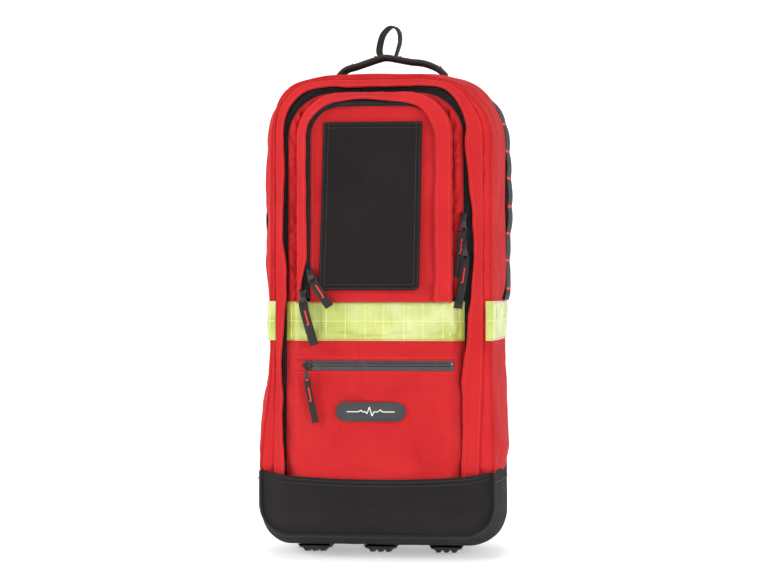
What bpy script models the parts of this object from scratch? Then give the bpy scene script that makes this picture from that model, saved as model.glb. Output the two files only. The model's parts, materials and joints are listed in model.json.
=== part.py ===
"""A trauma backpack that stands on three ribbed rubber skids.

Its front lid is zipped round three sides and swings down about its lower edge. The lid carries a pocket with
a zipped, hinged panel, a document flap on that panel, a reflective band and a water-resistant lower zip. The
back carries the harness: pads, shoulder straps, sternum strap and a hip belt folded flat.
Units are metres. X runs across the pack, -Y is its front and +Z is up. The origin is on the floor, at the
middle of the pack's width and depth.
"""

import math

import bmesh
import bpy
from mathutils import Matrix, Vector

# ---------------------------------------------------------------- driving dimensions
CLEARANCE = 0.0003
FABRIC = 0.004
WEBBING = 0.0016
BAND_LOW, BAND_HIGH, BAND_THICK = 0.277, 0.3265, 0.001
BOOT_TOP = 0.108

# Depths of the layers at the front, from the body's border forward.
BORDER_FRONT = -0.100
ZIP_TAPE = 0.0012
COIL = 0.0017
LOWER_FRONT = -0.1186
POCKET_FACE = -0.1227
FLAP_FACE = -0.1274
BACK_SEAM = 0.076
BACK_FACE = 0.082

# Half-widths, tops and corner radii of the outlines seen from the front.
ZIP_HALF, ZIP_TOP, ZIP_RADIUS = 0.116, 0.596, 0.062
POCKET_ZIP_HALF, POCKET_ZIP_TOP, POCKET_ZIP_RADIUS = 0.084, 0.574, 0.042
POCKET_LOW = BAND_HIGH + 0.0005
LID_LOW = 0.111

# Joint axes, as (y, z), or the point that a swinging piece hangs from.
LID_HINGE = Vector((0, -0.1186, 0.1105))
POCKET_HINGE = Vector((0, -0.1275, 0.3282))
DOCUMENT_HINGE = Vector((0, -0.1264, 0.5500))
HANDLE_HINGE = Vector((0, 0.024, 0.634))
HIP_HINGE_X, HIP_HINGE_Y = 0.146, 0.1005

ARC_STEPS = 6


# ---------------------------------------------------------------- materials and objects
def material(name, colour, roughness, metallic=0.0):
    made = bpy.data.materials.new(name)
    made.use_nodes = True
    shader = made.node_tree.nodes["Principled BSDF"]
    shader.inputs["Base Color"].default_value = (*colour, 1)
    shader.inputs["Roughness"].default_value = roughness
    shader.inputs["Metallic"].default_value = metallic
    made.diffuse_color = (*colour, 1)
    return made


def clear_scene():
    for obj in list(bpy.data.objects):
        bpy.data.objects.remove(obj)


def pivot(name, location):
    """An empty on a joint's axis, which the pieces of that moving body are parented to."""
    empty = bpy.data.objects.new(name, None)
    empty.location = location
    bpy.context.scene.collection.objects.link(empty)
    return empty


def add_object(name, mesh, made_of, body):
    """Links a mesh whose points are in the pack's frame, under the pivot of its moving body."""
    if not mesh.materials:
        mesh.materials.append(made_of)
    obj = bpy.data.objects.new(name, mesh)
    bpy.context.scene.collection.objects.link(obj)
    if body is not None:
        mesh.transform(Matrix.Translation(-body.location))
        obj.parent = body
    return obj


def skin(name, rings, made_of, body=None):
    """A closed solid whose surface joins rings of equal length, with its first and last ring filled."""
    shape = bmesh.new()
    rows = [[shape.verts.new(point) for point in ring] for ring in rings]
    count = len(rows[0])
    for low, high in zip(rows, rows[1:]):
        for i in range(count):
            j = (i + 1) % count
            shape.faces.new((low[i], low[j], high[j], high[i]))
    shape.faces.new(rows[0])
    shape.faces.new(rows[-1])
    bmesh.ops.recalc_face_normals(shape, faces=shape.faces)
    mesh = bpy.data.meshes.new(name)
    shape.to_mesh(mesh)
    shape.free()
    return add_object(name, mesh, made_of, body)


def cut(obj, cutter, operation="DIFFERENCE"):
    """Cuts, or joins, with a second object, which stays in the file as a hidden guide."""
    cutter.hide_render = True
    cutter.display_type = "WIRE"
    step = obj.modifiers.new(operation.lower(), "BOOLEAN")
    step.operation = operation
    step.object = cutter


# ---------------------------------------------------------------- outlines in the XZ plane
def arc(centre_x, centre_z, radius, start, end, steps=ARC_STEPS):
    """Points on an arc, with angles in degrees from +X towards +Z."""
    angles = [math.radians(start + (end - start) * i / steps) for i in range(steps + 1)]
    return [(centre_x + radius * math.cos(a), centre_z + radius * math.sin(a)) for a in angles]


def rounded(half, low, high, radius_low, radius_high):
    """A rounded rectangle, anticlockwise seen from the front."""
    return (
        arc(half - radius_low, low + radius_low, radius_low, -90, 0)
        + arc(half - radius_high, high - radius_high, radius_high, 0, 90)
        + arc(radius_high - half, high - radius_high, radius_high, 90, 180)
        + arc(radius_low - half, low + radius_low, radius_low, 180, 270)
    )


def rectangle(x0, x1, z0, z1):
    return [(x0, z0), (x1, z0), (x1, z1), (x0, z1)]


def at_depth(outline, y):
    return [Vector((x, y, z)) for x, z in outline]


def plate(name, outline, y_front, y_back, made_of, body=None):
    return skin(name, [at_depth(outline, y_front), at_depth(outline, y_back)], made_of, body)


def softened(obj, width, segments=2):
    """Rounds the edges of a padded or moulded piece."""
    bevel = obj.modifiers.new("soft_edges", "BEVEL")
    bevel.width = width
    bevel.segments = segments
    bevel.angle_limit = math.radians(50)
    return obj


def arch(half, low, top, radius, steps=ARC_STEPS):
    """An open arch from its left foot over the top to its right, as (point, outward direction) pairs."""
    out = [((-half, low), (-1, 0))]
    for centre_x, start in ((radius - half, 180), (half - radius, 90)):
        for i in range(steps + 1):
            angle = math.radians(start - 90 * i / steps)
            direction = (math.cos(angle), math.sin(angle))
            point = (centre_x + radius * direction[0], top - radius + radius * direction[1])
            out.append((point, direction))
    out.append(((half, low), (1, 0)))
    return out


def along_arch(name, stations, section, made_of, body=None):
    """Sweeps a section of (distance outwards, y) points along an arch."""
    rings = [
        [Vector((px + nx * out, y, pz + nz * out)) for out, y in section]
        for (px, pz), (nx, nz) in stations
    ]
    return skin(name, rings, made_of, body)


def band_round(name, path, low, high, thickness, made_of, body=None):
    """An upright band that follows a path of (x, y) points seen from above, and stands off it outwards."""
    outer = []
    for i, (x, y) in enumerate(path):
        before, after = path[max(i - 1, 0)], path[min(i + 1, len(path) - 1)]
        along = Vector((after[0] - before[0], after[1] - before[1])).normalized()
        outer.append((x + along.y * thickness, y - along.x * thickness))
    loop = list(path) + outer[::-1]
    return skin(name, [[Vector((x, y, z)) for x, y in loop] for z in (low, high)], made_of, body)


def ribbon(name, centres, across, widths, thickness, made_of, body=None):
    """A strap of rectangular section along a path. across holds its width's direction at each point."""
    rings = []
    for i, centre in enumerate(centres):
        before, after = centres[max(i - 1, 0)], centres[min(i + 1, len(centres) - 1)]
        tangent = (after - before).normalized()
        side = across[i] - tangent * across[i].dot(tangent)
        side.normalize()
        out = tangent.cross(side) * (thickness / 2)
        side = side * (widths[i] / 2)
        rings.append([centre - side - out, centre + side - out, centre + side + out, centre - side + out])
    return skin(name, rings, made_of, body)


# ---------------------------------------------------------------- the body
# Each station across the depth: y, upper half-width, lower half-width, bottom, top, bottom and top radius.
STATIONS = (
    (BORDER_FRONT, 0.139, 0.149, 0.031, 0.618, 0.040, 0.090),
    (-0.060, 0.149, 0.155, 0.014, 0.624, 0.040, 0.094),
    (0.000, 0.157, 0.160, 0.010, 0.629, 0.040, 0.096),
    (0.045, 0.157, 0.160, 0.010, 0.629, 0.040, 0.096),
    (BACK_SEAM, 0.150, 0.152, 0.020, 0.621, 0.040, 0.080),
)
FLARE_LOW, FLARE_HIGH = BOOT_TOP, 0.260
SIDE_STEPS = 4


def flared_half(upper, lower, z):
    """The half-width at a height: the sides flare out towards the boot."""
    share = min(max((z - FLARE_LOW) / (FLARE_HIGH - FLARE_LOW), 0), 1)
    return lower + (upper - lower) * share * share * (3 - 2 * share)


def over_arch(station, inset=0.0):
    """The body's outline above the boot, from the left foot over the top to the right foot."""
    _, upper, lower, _, top, _, radius = station
    heights = [BOOT_TOP + CLEARANCE + (FLARE_HIGH - BOOT_TOP) * i / SIDE_STEPS for i in range(SIDE_STEPS + 1)]
    side = [(flared_half(upper, lower, z) - inset, z) for z in heights]
    curve = [p for p, _ in arch(upper - inset, 0, top - inset, radius - inset)[1:-1]]
    return [(-x, z) for x, z in side] + curve + side[::-1]


def border_hole(count):
    """The front opening's edge, with its side points level with the outer outline's."""
    heights = [p[1] for p in over_arch(STATIONS[0])[: SIDE_STEPS + 1]]
    half, top, radius = ZIP_HALF + 0.001, ZIP_TOP + 0.001, ZIP_RADIUS + 0.001
    side = [(half, z) for z in heights]
    curve = [p for p, _ in arch(half, 0, top, radius)[1:-1]]
    hole = [(-x, z) for x, z in side] + curve + side[::-1]
    assert len(hole) == count
    return hole


def build_gusset(red):
    """The red sides and top in one arched shell, with the border that frames the front opening."""
    front = over_arch(STATIONS[0])
    hole = border_hole(len(front))
    border_back = BORDER_FRONT + FABRIC
    rings = [
        at_depth(front, BORDER_FRONT) + at_depth(hole, BORDER_FRONT)[::-1],
        at_depth(front, border_back) + at_depth(hole, border_back)[::-1],
    ]
    inner = over_arch(STATIONS[0], FABRIC)
    rings.append(at_depth(front, border_back + CLEARANCE) + at_depth(inner, border_back + CLEARANCE)[::-1])
    for station in STATIONS[1:]:
        outer, inner = over_arch(station), over_arch(station, FABRIC)
        rings.append(at_depth(outer, station[0]) + at_depth(inner, station[0])[::-1])
    return skin("gusset_shell", rings, red)


def under_arch(station, inset, top):
    """The body's outline below a height, closed along that height."""
    _, _, lower, bottom, _, radius, _ = station
    half, low, radius = lower - inset, bottom + inset, radius - inset
    return (
        [(-half, top)]
        + arc(radius - half, low + radius, radius, 180, 270)
        + arc(half - radius, low + radius, radius, 270, 360)
        + [(half, top)]
    )


def build_boot(black):
    """The black boot: a tub with a swelling front wall, open at the top and at the back."""
    swell = (LOWER_FRONT + 0.0012, 0.0, 0.126, 0.052, 0.0, 0.038, 0.0)
    rings = [at_depth(under_arch(s, 0, BOOT_TOP - CLEARANCE), s[0]) for s in (swell, *STATIONS)]
    boot = skin("base_boot", rings, black)

    over_top, front_wall, border_wall, past_back = 0.020, FABRIC + 0.002, 0.003, 0.010
    first, last = STATIONS[0], STATIONS[-1]
    places = [(swell, swell[0] + front_wall), (first, first[0] + border_wall)]
    places += [(s, s[0]) for s in STATIONS[1:]]
    places.append((last, last[0] + past_back))
    inner = [at_depth(under_arch(s, FABRIC, BOOT_TOP + over_top), y) for s, y in places]
    cut(boot, skin("boot_hollow", inner, black))


def build_back(red, black, board, alloy, mesh_fabric):
    """The back wall, the stiffening sheet and stays inside it, and the pads outside it."""
    _, upper, _, bottom, top, radius_low, radius_high = STATIONS[-1]
    outline = rounded(upper + 0.001, bottom, top, radius_low, radius_high)
    plate("back_panel", outline, BACK_SEAM + CLEARANCE, BACK_FACE, black)
    plate("frame_sheet", rounded(0.128, 0.045, 0.590, 0.03, 0.04), 0.0735, 0.0750, board)
    stay_x, stay_half = 0.062, 0.010
    for side, name in ((-1, "left"), (1, "right")):
        x = side * stay_x
        outline = rectangle(x - stay_half, x + stay_half, 0.070, 0.570)
        plate(f"frame_stay_{name}", outline, 0.0700, 0.0730, alloy)
    pads = (
        ("back_pad", rounded(0.118, 0.185, 0.562, 0.03, 0.045), 0.0955),
        ("lumbar_pad", rounded(0.112, 0.062, 0.170, 0.03, 0.03), 0.0985),
    )
    for name, outline, face in pads:
        softened(plate(name, outline, BACK_FACE + CLEARANCE, face, mesh_fabric), 0.004)


SKID_HALF, SKID_TOP, SKID_GROOVE = 0.021, 0.0097, 0.0042
SKID_PITCH, SKID_LAND, SKID_TAPER = 0.0102, 0.0016, 0.0020
SKID_SPACING, SKID_LENGTH = 0.085, 0.104


def build_skids(rubber):
    """Three rubber skids that run from front to back, each with three ridges under it."""
    outline = [(SKID_HALF, SKID_TOP), (-SKID_HALF, SKID_TOP), (SKID_TAPER - SKID_HALF, SKID_GROOVE)]
    outline.append((-1.5 * SKID_PITCH, SKID_GROOVE))
    for middle in (-SKID_PITCH, 0, SKID_PITCH):
        outline += [(middle - SKID_LAND / 2, 0), (middle + SKID_LAND / 2, 0)]
        outline.append((middle + SKID_PITCH / 2, SKID_GROOVE))
    outline.append((SKID_HALF - SKID_TAPER, SKID_GROOVE))
    for x, name in ((-SKID_SPACING, "left"), (0.0, "centre"), (SKID_SPACING, "right")):
        moved = [(x + px, pz) for px, pz in outline[::-1]]
        plate(f"skid_{name}", moved, -SKID_LENGTH / 2, SKID_LENGTH / 2, rubber)


# ---------------------------------------------------------------- zips, flaps and bands
def zip_tapes(prefix, path, y_back, made_of, halves):
    """The two halves of an arched zip. Each is a tape with its row of teeth as a bead along the meeting edge.

    halves holds each half's name, side of the path, reach from it and moving body.
    """
    y_tape, y_coil, gap, bead = y_back - ZIP_TAPE, y_back - ZIP_TAPE - COIL, CLEARANCE, 0.0026
    for which, side, reach, body in halves:
        section = [(gap, y_back), (reach, y_back), (reach, y_tape)]
        section += [(bead, y_tape), (bead, y_coil), (gap, y_coil)]
        section = [(side * out, y) for out, y in section]
        along_arch(f"{prefix}_{which}_tape", path, section, made_of, body)


def storm_flap(name, path, foot, rise, lip, made_of, body=None):
    """A raised flap along the outside of a zip: sewn at the depth foot, and leaning inwards by lip."""
    wall, face = 0.0018, foot - rise
    tip = face - 0.0010
    section = [(0, foot), (0, face), (-lip, tip), (-lip, tip + wall), (-wall, face + wall), (-wall, foot)]
    along_arch(name, path, section, made_of, body)


def half_width_at(y):
    """The body's upper half-width at a depth, between its stations."""
    for near, far in zip(STATIONS, STATIONS[1:]):
        if near[0] <= y <= far[0]:
            share = (y - near[0]) / (far[0] - near[0])
            return near[1] + (far[1] - near[1]) * share
    return STATIONS[-1][1]


def build_side_bands(reflective):
    """The reflective band's two side lengths, from beside the storm flap round to the back seam."""
    stand_off, front = CLEARANCE + 0.0002, BORDER_FRONT - CLEARANCE
    right = [(0.1335, front), (STATIONS[0][1] + stand_off, front)]
    right += [(half_width_at(y) + stand_off, y) for y in (-0.098, -0.060, 0.000, 0.045, 0.070)]
    left = [(-x, y) for x, y in right[::-1]]
    for name, run in (("right", right), ("left", left)):
        band_round(f"reflective_band_{name}", run, BAND_LOW, BAND_HIGH, BAND_THICK, reflective)


DAISY_FRONT, DAISY_BACK = 0.0115, 0.0365
DAISY_START = 0.060


def build_daisy_chains(webbing):
    """The webbing with sewn loops, from each end of the grab handle over the corner and down to the band."""
    _, half, _, _, top, _, radius = STATIONS[2]
    stations = arch(half, BAND_HIGH + 0.001, top, radius)
    middle = len(stations) // 2
    right = [((DAISY_START, top), (0, 1))] + stations[middle:]
    section = [(CLEARANCE, DAISY_FRONT), (CLEARANCE + WEBBING, DAISY_FRONT)]
    section += [(CLEARANCE + WEBBING, DAISY_BACK), (CLEARANCE, DAISY_BACK)]
    along_arch("daisy_chain_right", right, section, webbing)
    left = [((-x, z), (-nx, nz)) for (x, z), (nx, nz) in right]
    along_arch("daisy_chain_left", left, section, webbing)


# ---------------------------------------------------------------- the lid and its pocket
def build_lid(red, zip_black, reflective, rubber, lid):
    """The zipped front lid: its panel, the padded lower front, the pocket's walls, the band and the badge."""
    panel = [(-0.115, LID_LOW)] + [p for p, _ in arch(0.115, 0, ZIP_TOP - 0.001, ZIP_RADIUS - 0.001)[1:-1]]
    plate("lid_panel", (panel + [(0.115, LID_LOW)])[::-1], BORDER_FRONT, BORDER_FRONT + FABRIC, red, lid)

    foot = BORDER_FRONT - CLEARANCE
    depths = ((foot, 0.1045), (foot - 0.009, 0.1035), (LOWER_FRONT, 0.097))
    lower = [at_depth(rectangle(-half, half, LID_LOW + 0.001, BAND_HIGH), y) for y, half in depths]
    skin("lower_front_panel", lower, red, lid)

    half, top, radius = POCKET_ZIP_HALF, POCKET_ZIP_TOP, POCKET_ZIP_RADIUS
    wall, flange_back, reach = 0.003, POCKET_FACE + 0.002, 0.0125
    section = [(reach, foot), (reach, POCKET_FACE), (0.0006, POCKET_FACE), (0.0006, flange_back)]
    section += [(reach - wall, flange_back), (reach - wall, foot)]
    along_arch("pocket_gusset", arch(half, POCKET_LOW, top, radius), section, red, lid)
    path = arch(half + reach, POCKET_LOW + 0.001, top + reach, radius + reach)
    storm_flap("pocket_storm_flap", path, POCKET_FACE - CLEARANCE, 0.0085, 0.003, red, lid)

    wrap = [(0.1050, foot - 0.004), (0.1040, foot - 0.0092), (0.0975, LOWER_FRONT - CLEARANCE)]
    path = [(-x, y) for x, y in wrap] + wrap[::-1]
    band_round("reflective_band_front", path, BAND_LOW, BAND_HIGH - 0.0005, BAND_THICK, reflective, lid)

    front = LOWER_FRONT - CLEARANCE
    outline = rounded(0.0945, 0.2390, 0.2530, 0.002, 0.002)
    plate("lower_zip_tape", outline, front - ZIP_TAPE, front, zip_black, lid)
    outline = rounded(0.044, 0.1766, 0.2006, 0.0119, 0.0119)
    softened(plate("badge", outline, front - 0.003, front, rubber, lid), 0.0008)


def build_pocket_panel(red, clear, pocket):
    """The pocket's hinged front, with the clear document window sewn to it."""
    edge = 0.0006
    path = arch(POCKET_ZIP_HALF - edge, POCKET_LOW + 0.003, POCKET_ZIP_TOP - edge, POCKET_ZIP_RADIUS - edge)
    outline = [point for point, _ in path]
    plate("pocket_panel", outline[::-1], POCKET_FACE, POCKET_FACE + 0.003, red, pocket)
    face = POCKET_FACE - CLEARANCE
    outline = rounded(0.057, 0.346, 0.545, 0.004, 0.004)
    plate("document_window", outline, face - 0.0012, face, clear, pocket)


def build_document_flap(black, document):
    """The black flap over the window, hinged along its sewn top edge, with round lower corners."""
    outline = rounded(0.0615, 0.3405, 0.5495, 0.006, 0.0008)
    plate("document_flap", outline, FLAP_FACE, FLAP_FACE + 0.002, black, document)


# ---------------------------------------------------------------- zip sliders and pulls
# A slider's own frame: it travels along Z, its back face is at y = 0 and it stands out along -Y.
SLIDER_HALF, SLIDER_LENGTH, SLIDER_PLATE = 0.0040, 0.011, 0.0032
BRIDGE_HALF, BRIDGE_REACH = 0.0013, 0.0080
PIN_OUT, PIN_DROP = 0.0049, 0.0012


def slider(name, made_of, where, turn, body):
    """A zip slider: a tapering plate, with a bridge on it that its pull's bar passes under."""
    end = SLIDER_LENGTH / 2
    nose = [(-0.0026, -end), (0.0026, -end), (SLIDER_HALF, end * 0.2), (SLIDER_HALF, end)]
    nose += [(-SLIDER_HALF, end), (-SLIDER_HALF, end * 0.2)]
    obj = plate(name, nose, -SLIDER_PLATE, 0, made_of)
    # Half the bridge's profile, from the root of its outer face round to the root of its inner face.
    upper = [(0.85, -0.0020), (0.85, -0.0055), (0.50, -BRIDGE_REACH)]
    under = [(0.30, -0.0066), (0.55, -0.0052), (0.55, -0.0020)]
    profile = upper + [(-share, y) for share, y in upper[::-1]]
    profile += [(-share, y) for share, y in under[::-1]] + under
    rings = [[Vector((x, y, end * share)) for share, y in profile] for x in (-BRIDGE_HALF, BRIDGE_HALF)]
    bridge = skin(f"{name}_bridge", rings, made_of)
    placed = Matrix.Translation(where) @ turn
    for piece in (obj, bridge):
        piece.data.transform(placed)
        piece.data.transform(Matrix.Translation(-body.location))
        piece.parent = body
    cut(obj, bridge, "UNION")
    return obj


RING_HALF, RING_HOLE, RING_DROP, PULL_THICK = 0.0040, 0.0024, 0.0108, 0.0018
RING_BAR, RING_FOOT = 0.0008, 0.0018
TAB_HALF, TAB_THICK = 0.0044, 0.0024


def pull(name, made_of, path, body):
    """A zip pull: a ring whose top bar passes under the bridge, and a webbing tab along a path from it.

    The pull's frame has its origin on the bar, and hangs down -Z. body's origin is on the bar.
    """
    outer = rectangle(-RING_HALF, RING_HALF, -RING_DROP, RING_BAR)
    ring = plate(name, outer, -PULL_THICK / 2, PULL_THICK / 2, made_of)
    hole = rectangle(-RING_HOLE, RING_HOLE, RING_FOOT - RING_DROP, -RING_BAR)
    cut(ring, plate(f"{name}_hole", hole, -0.01, 0.01, made_of))
    centres = [Vector(p) for p in path]
    across = [Vector((1, 0, 0))] * len(centres)
    widths = [2 * RING_HALF] + [2 * TAB_HALF] * (len(centres) - 1)
    tab = ribbon(f"{name}_tab", centres, across, widths, TAB_THICK, made_of)
    cut(ring, tab, "UNION")
    for piece in (ring, tab, bpy.data.objects[f"{name}_hole"]):
        piece.parent = body


def hanging(near, far, length):
    """A pull's path: down from the ring, across by near at once, and by far at its full length."""
    start, turn = RING_BAR - RING_DROP, -RING_DROP - 0.0110
    middle = (near * 0.5, 0, (start + turn) / 2)
    return [(0, 0, start + RING_BAR), middle, (near, 0, turn), (far, 0, -length)]


def build_zip_hardware(metal, webbing, lid):
    """Sliders and pulls: two on the main zip's right leg, two at the pocket zip's left foot, one lower down.

    Each rides on one half of its zip: the pocket zip's upper one on the panel's, the others on the lid's.
    """
    upright = Matrix.Identity(4)
    main_back = BORDER_FRONT - CLEARANCE - ZIP_TAPE - COIL - CLEARANCE
    pocket_back = POCKET_FACE - CLEARANCE - ZIP_TAPE - COIL - CLEARANCE
    places = (
        ("main_zip", "upper", 0.1115, main_back, 0.432, -0.0095, -0.0095, 0.074),
        ("main_zip", "lower", 0.1115, main_back, 0.397, 0.0, 0.0, 0.064),
        ("pocket_zip", "upper", -0.0795, pocket_back, 0.362, 0.0151, 0.0235, 0.0288),
        ("pocket_zip", "lower", -0.0885, pocket_back, 0.336, 0.0, 0.0170, 0.062),
    )
    for family, which, x, y, z, near, far, length in places:
        carrier = lid
        if (family, which) != ("pocket_zip", "lower"):
            carrier = pivot(f"{family}_{which}_carrier", Vector((x, y, z)))
        slider(f"{family}_slider_{which}", metal, Vector((x, y, z)), upright, carrier)
        bar = pivot(f"{family}_{which}_bar", Vector((x, y - PIN_OUT, z - PIN_DROP)))
        pull(f"{family}_pull_{which}", webbing, hanging(near, far, length), bar)

    lower_back = LOWER_FRONT - CLEARANCE - ZIP_TAPE - CLEARANCE
    place = Vector((-0.084, lower_back, 0.246))
    carrier = pivot("lower_zip_carrier", place)
    slider("lower_zip_slider", metal, place, Matrix.Rotation(math.radians(90), 4, "Y"), carrier)
    bar = pivot("lower_zip_bar", place + Vector((0, -PIN_OUT, 0)))
    loop_pull("lower_zip_pull", webbing, bar)


def loop_pull(name, made_of, body):
    """The lower zip's pull: a loop round the outer bar of its bridge, with a webbing tab hanging from it."""
    outer = [(0.0007, -0.0110), (-0.0052, -0.0110), (-0.0052, 0.0034), (0.0007, 0.0034)]
    hole = [(-0.0007, -0.0096), (-0.0038, -0.0096), (-0.0038, 0.0020), (-0.0007, 0.0020)]
    loop, gap = (
        skin(part, [[Vector((x, y, z)) for y, z in outline] for x in (-half, half)], made_of)
        for part, outline, half in ((name, outer, 0.0007), (f"{name}_hole", hole, 0.01))
    )
    cut(loop, gap)
    path = ((0, -0.0030, -0.0102), (0.0045, -0.0020, -0.030), (0.0150, -0.0010, -0.070))
    across, widths = [Vector((1, 0, 0))] * len(path), [0.0064] * len(path)
    tab = ribbon(f"{name}_tab", [Vector(p) for p in path], across, widths, 0.0022, made_of)
    cut(loop, tab, "UNION")
    for piece in (loop, gap, tab):
        piece.parent = body


# ---------------------------------------------------------------- the harness
def curve_points(points, steps):
    """Points along a smooth curve through the given ones, steps to a span."""
    knots = [points[0], *points, points[-1]]
    out = []
    for i in range(1, len(knots) - 2):
        a, b, c, d = (Vector(knots[k]) for k in (i - 1, i, i + 1, i + 2))
        square, cube = 2 * a - 5 * b + 4 * c - d, 3 * b - 3 * c + d - a
        for s in range(steps):
            t = s / steps
            out.append(0.5 * (2 * b + (c - a) * t + square * t ** 2 + cube * t ** 3))
    out.append(Vector(points[-1]))
    return out


STRAP_PATH = ((0.046, 0.0890, 0.607), (0.047, 0.0920, 0.586), (0.050, 0.1050, 0.562), (0.056, 0.1190, 0.515),
              (0.066, 0.1245, 0.455), (0.082, 0.1245, 0.385), (0.096, 0.1180, 0.315), (0.104, 0.1070, 0.255))
ADJUSTER_PATH = ((0.118, 0.0990, 0.190), (0.130, 0.0905, 0.145), (0.137, 0.0860, 0.100))
LIFTER_PATH = ((0.058, 0.1275, 0.520), (0.066, 0.1190, 0.556), (0.081, 0.1050, 0.588), (0.096, 0.0860, 0.610))
STRAP_WIDE, STRAP_NARROW, STRAP_THICK = 0.062, 0.044, 0.011
NARROW_WEBBING = 0.020


def mirrored(points, side):
    return [Vector((p[0] * side, p[1], p[2])) for p in points]


def flat_strap(name, points, across, webbing):
    """A length of the harness's narrow webbing along a smooth curve."""
    centres = curve_points(points, 3)
    count = len(centres)
    ribbon(name, centres, [Vector(across)] * count, [NARROW_WEBBING] * count, WEBBING, webbing)


def build_ladder_lock(name, end, low, plastic):
    """The ladder lock below a shoulder strap's end, with two slots through it."""
    half, half_thick, height = 0.018, 0.003, 0.030
    slot_half, slot_height, cutter = 0.0135, 0.007, 0.010
    outline = rectangle(end.x - half, end.x + half, low, low + height)
    lock = plate(f"ladder_lock_{name}", outline, end.y - half_thick, end.y + half_thick, plastic)
    for number, z in enumerate((low + 0.004, low + 0.018), 1):
        outline = rectangle(end.x - slot_half, end.x + slot_half, z, z + slot_height)
        slot = plate(f"ladder_slot_{name}_{number}", outline, end.y - cutter, end.y + cutter, plastic)
        cut(lock, slot)


def build_shoulder_straps(padded, webbing, plastic):
    """The padded straps, the ladder locks at their lower ends, their adjusters and the load lifters."""
    for side, name in ((-1, "left"), (1, "right")):
        centres = curve_points(mirrored(STRAP_PATH, side), 3)
        count = len(centres)
        taper = [max(0, 2 * i / (count - 1) - 1) for i in range(count)]
        widths = [STRAP_WIDE + (STRAP_NARROW - STRAP_WIDE) * share for share in taper]
        ribbon(f"shoulder_strap_{name}", centres, [Vector((1, 0, 0))] * count, widths, STRAP_THICK, padded)

        end = centres[-1]
        lock_low = end.z - 0.034
        build_ladder_lock(name, end, lock_low, plastic)
        web = [(side * end.x, end.y - 0.005, lock_low + 0.010), *ADJUSTER_PATH]
        flat_strap(f"adjuster_webbing_{name}", mirrored(web, side), (1, 0, side * 0.3), webbing)
        flat_strap(f"load_lifter_{name}", mirrored(LIFTER_PATH, side), (1, 0, 0), webbing)


def block(name, x, y, z, made_of, body=None):
    """A block between its least and greatest x, y and z."""
    return plate(name, rectangle(*x, *z), *y, made_of, body)


def about(middle, half):
    return middle - half, middle + half


BUCKLE_PLUG, BUCKLE_SOCKET = 0.013, 0.027


def buckle(prefix, mouth, centre, half, part, plastic, male_body, female_body):
    """A side-release buckle across X: the male half's prongs go into the female half's mouth, part apart.

    centre holds its y and z, and half is half its height.
    """
    y, z = centre
    thick, wall, depth, overlap = 0.0042, 0.0020, 0.020, 0.004
    socket = (mouth, mouth + BUCKLE_SOCKET)
    female = block(f"{prefix}_buckle_female", socket, about(y, thick), about(z, half), plastic, female_body)
    hollow = (mouth - 0.005, mouth + depth + 0.001)
    inner = about(y, thick - wall), about(z, half - wall)
    cut(female, block(f"{prefix}_buckle_cavity", hollow, *inner, plastic, female_body))
    seat = mouth - CLEARANCE - part
    plug = (seat - BUCKLE_PLUG, seat)
    male = block(f"{prefix}_buckle_male", plug, about(y, thick), about(z, half), plastic, male_body)
    for sign, which in ((-1, "low"), (1, "high")):
        reach = (seat - overlap, seat + depth - 0.001)
        rise = about(z + sign * half * 0.55, half * 0.17)
        prong = block(f"{prefix}_prong_{which}", reach, about(y, 0.0015), rise, plastic, male_body)
        cut(male, prong, "UNION")


STERNUM_Z, STERNUM_Y, STERNUM_MOUTH, STERNUM_END = 0.455, 0.1325, -0.001, 0.082


def build_sternum_strap(webbing, plastic, release):
    """The chest strap between the shoulder straps, clipped shut near the middle."""
    centre = (STERNUM_Y - 0.0035, STERNUM_Z)
    buckle("sternum", STERNUM_MOUTH, centre, 0.0125, 0.0, plastic, release, None)
    y, z = (STERNUM_Y + 0.0010 - WEBBING, STERNUM_Y + 0.0010), about(STERNUM_Z, NARROW_WEBBING / 2)
    right = (STERNUM_MOUTH + BUCKLE_SOCKET + CLEARANCE, STERNUM_END)
    left = (-STERNUM_END, STERNUM_MOUTH - BUCKLE_PLUG - 2 * CLEARANCE)
    block("sternum_webbing_right", right, y, z, webbing)
    block("sternum_webbing_left", left, y, z, webbing, release)


HIP_LOW, HIP_HIGH, HIP_FRONT, HIP_BACK = 0.084, 0.166, 0.1015, 0.1135


def build_hip_belt(padded, webbing, plastic, bodies):
    """Two padded wings folded flat across the lumbar pad, with a buckle half on the tip of each."""
    for side, name in ((-1, "left"), (1, "right")):
        edge = ((0.143, 0), (0.066, 0.012), (0.045, 0.024))
        outline = [(side * x, HIP_LOW + rise) for x, rise in edge]
        outline += [(side * x, HIP_HIGH - rise) for x, rise in edge[::-1]]
        wing = plate(f"hip_wing_{name}", outline, HIP_FRONT, HIP_BACK, padded, bodies[name])
        softened(wing, 0.003)
    middle, depth = (HIP_LOW + HIP_HIGH) / 2, (HIP_FRONT + HIP_BACK) / 2
    half = 0.019
    buckle("hip", 0.0175, (depth, middle), half, 0.026, plastic, bodies["left"], bodies["right"])
    reach = (-0.0447, -0.0221)
    block("hip_webbing_left", reach, about(depth, WEBBING / 2), about(middle, half), webbing, bodies["left"])


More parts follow.
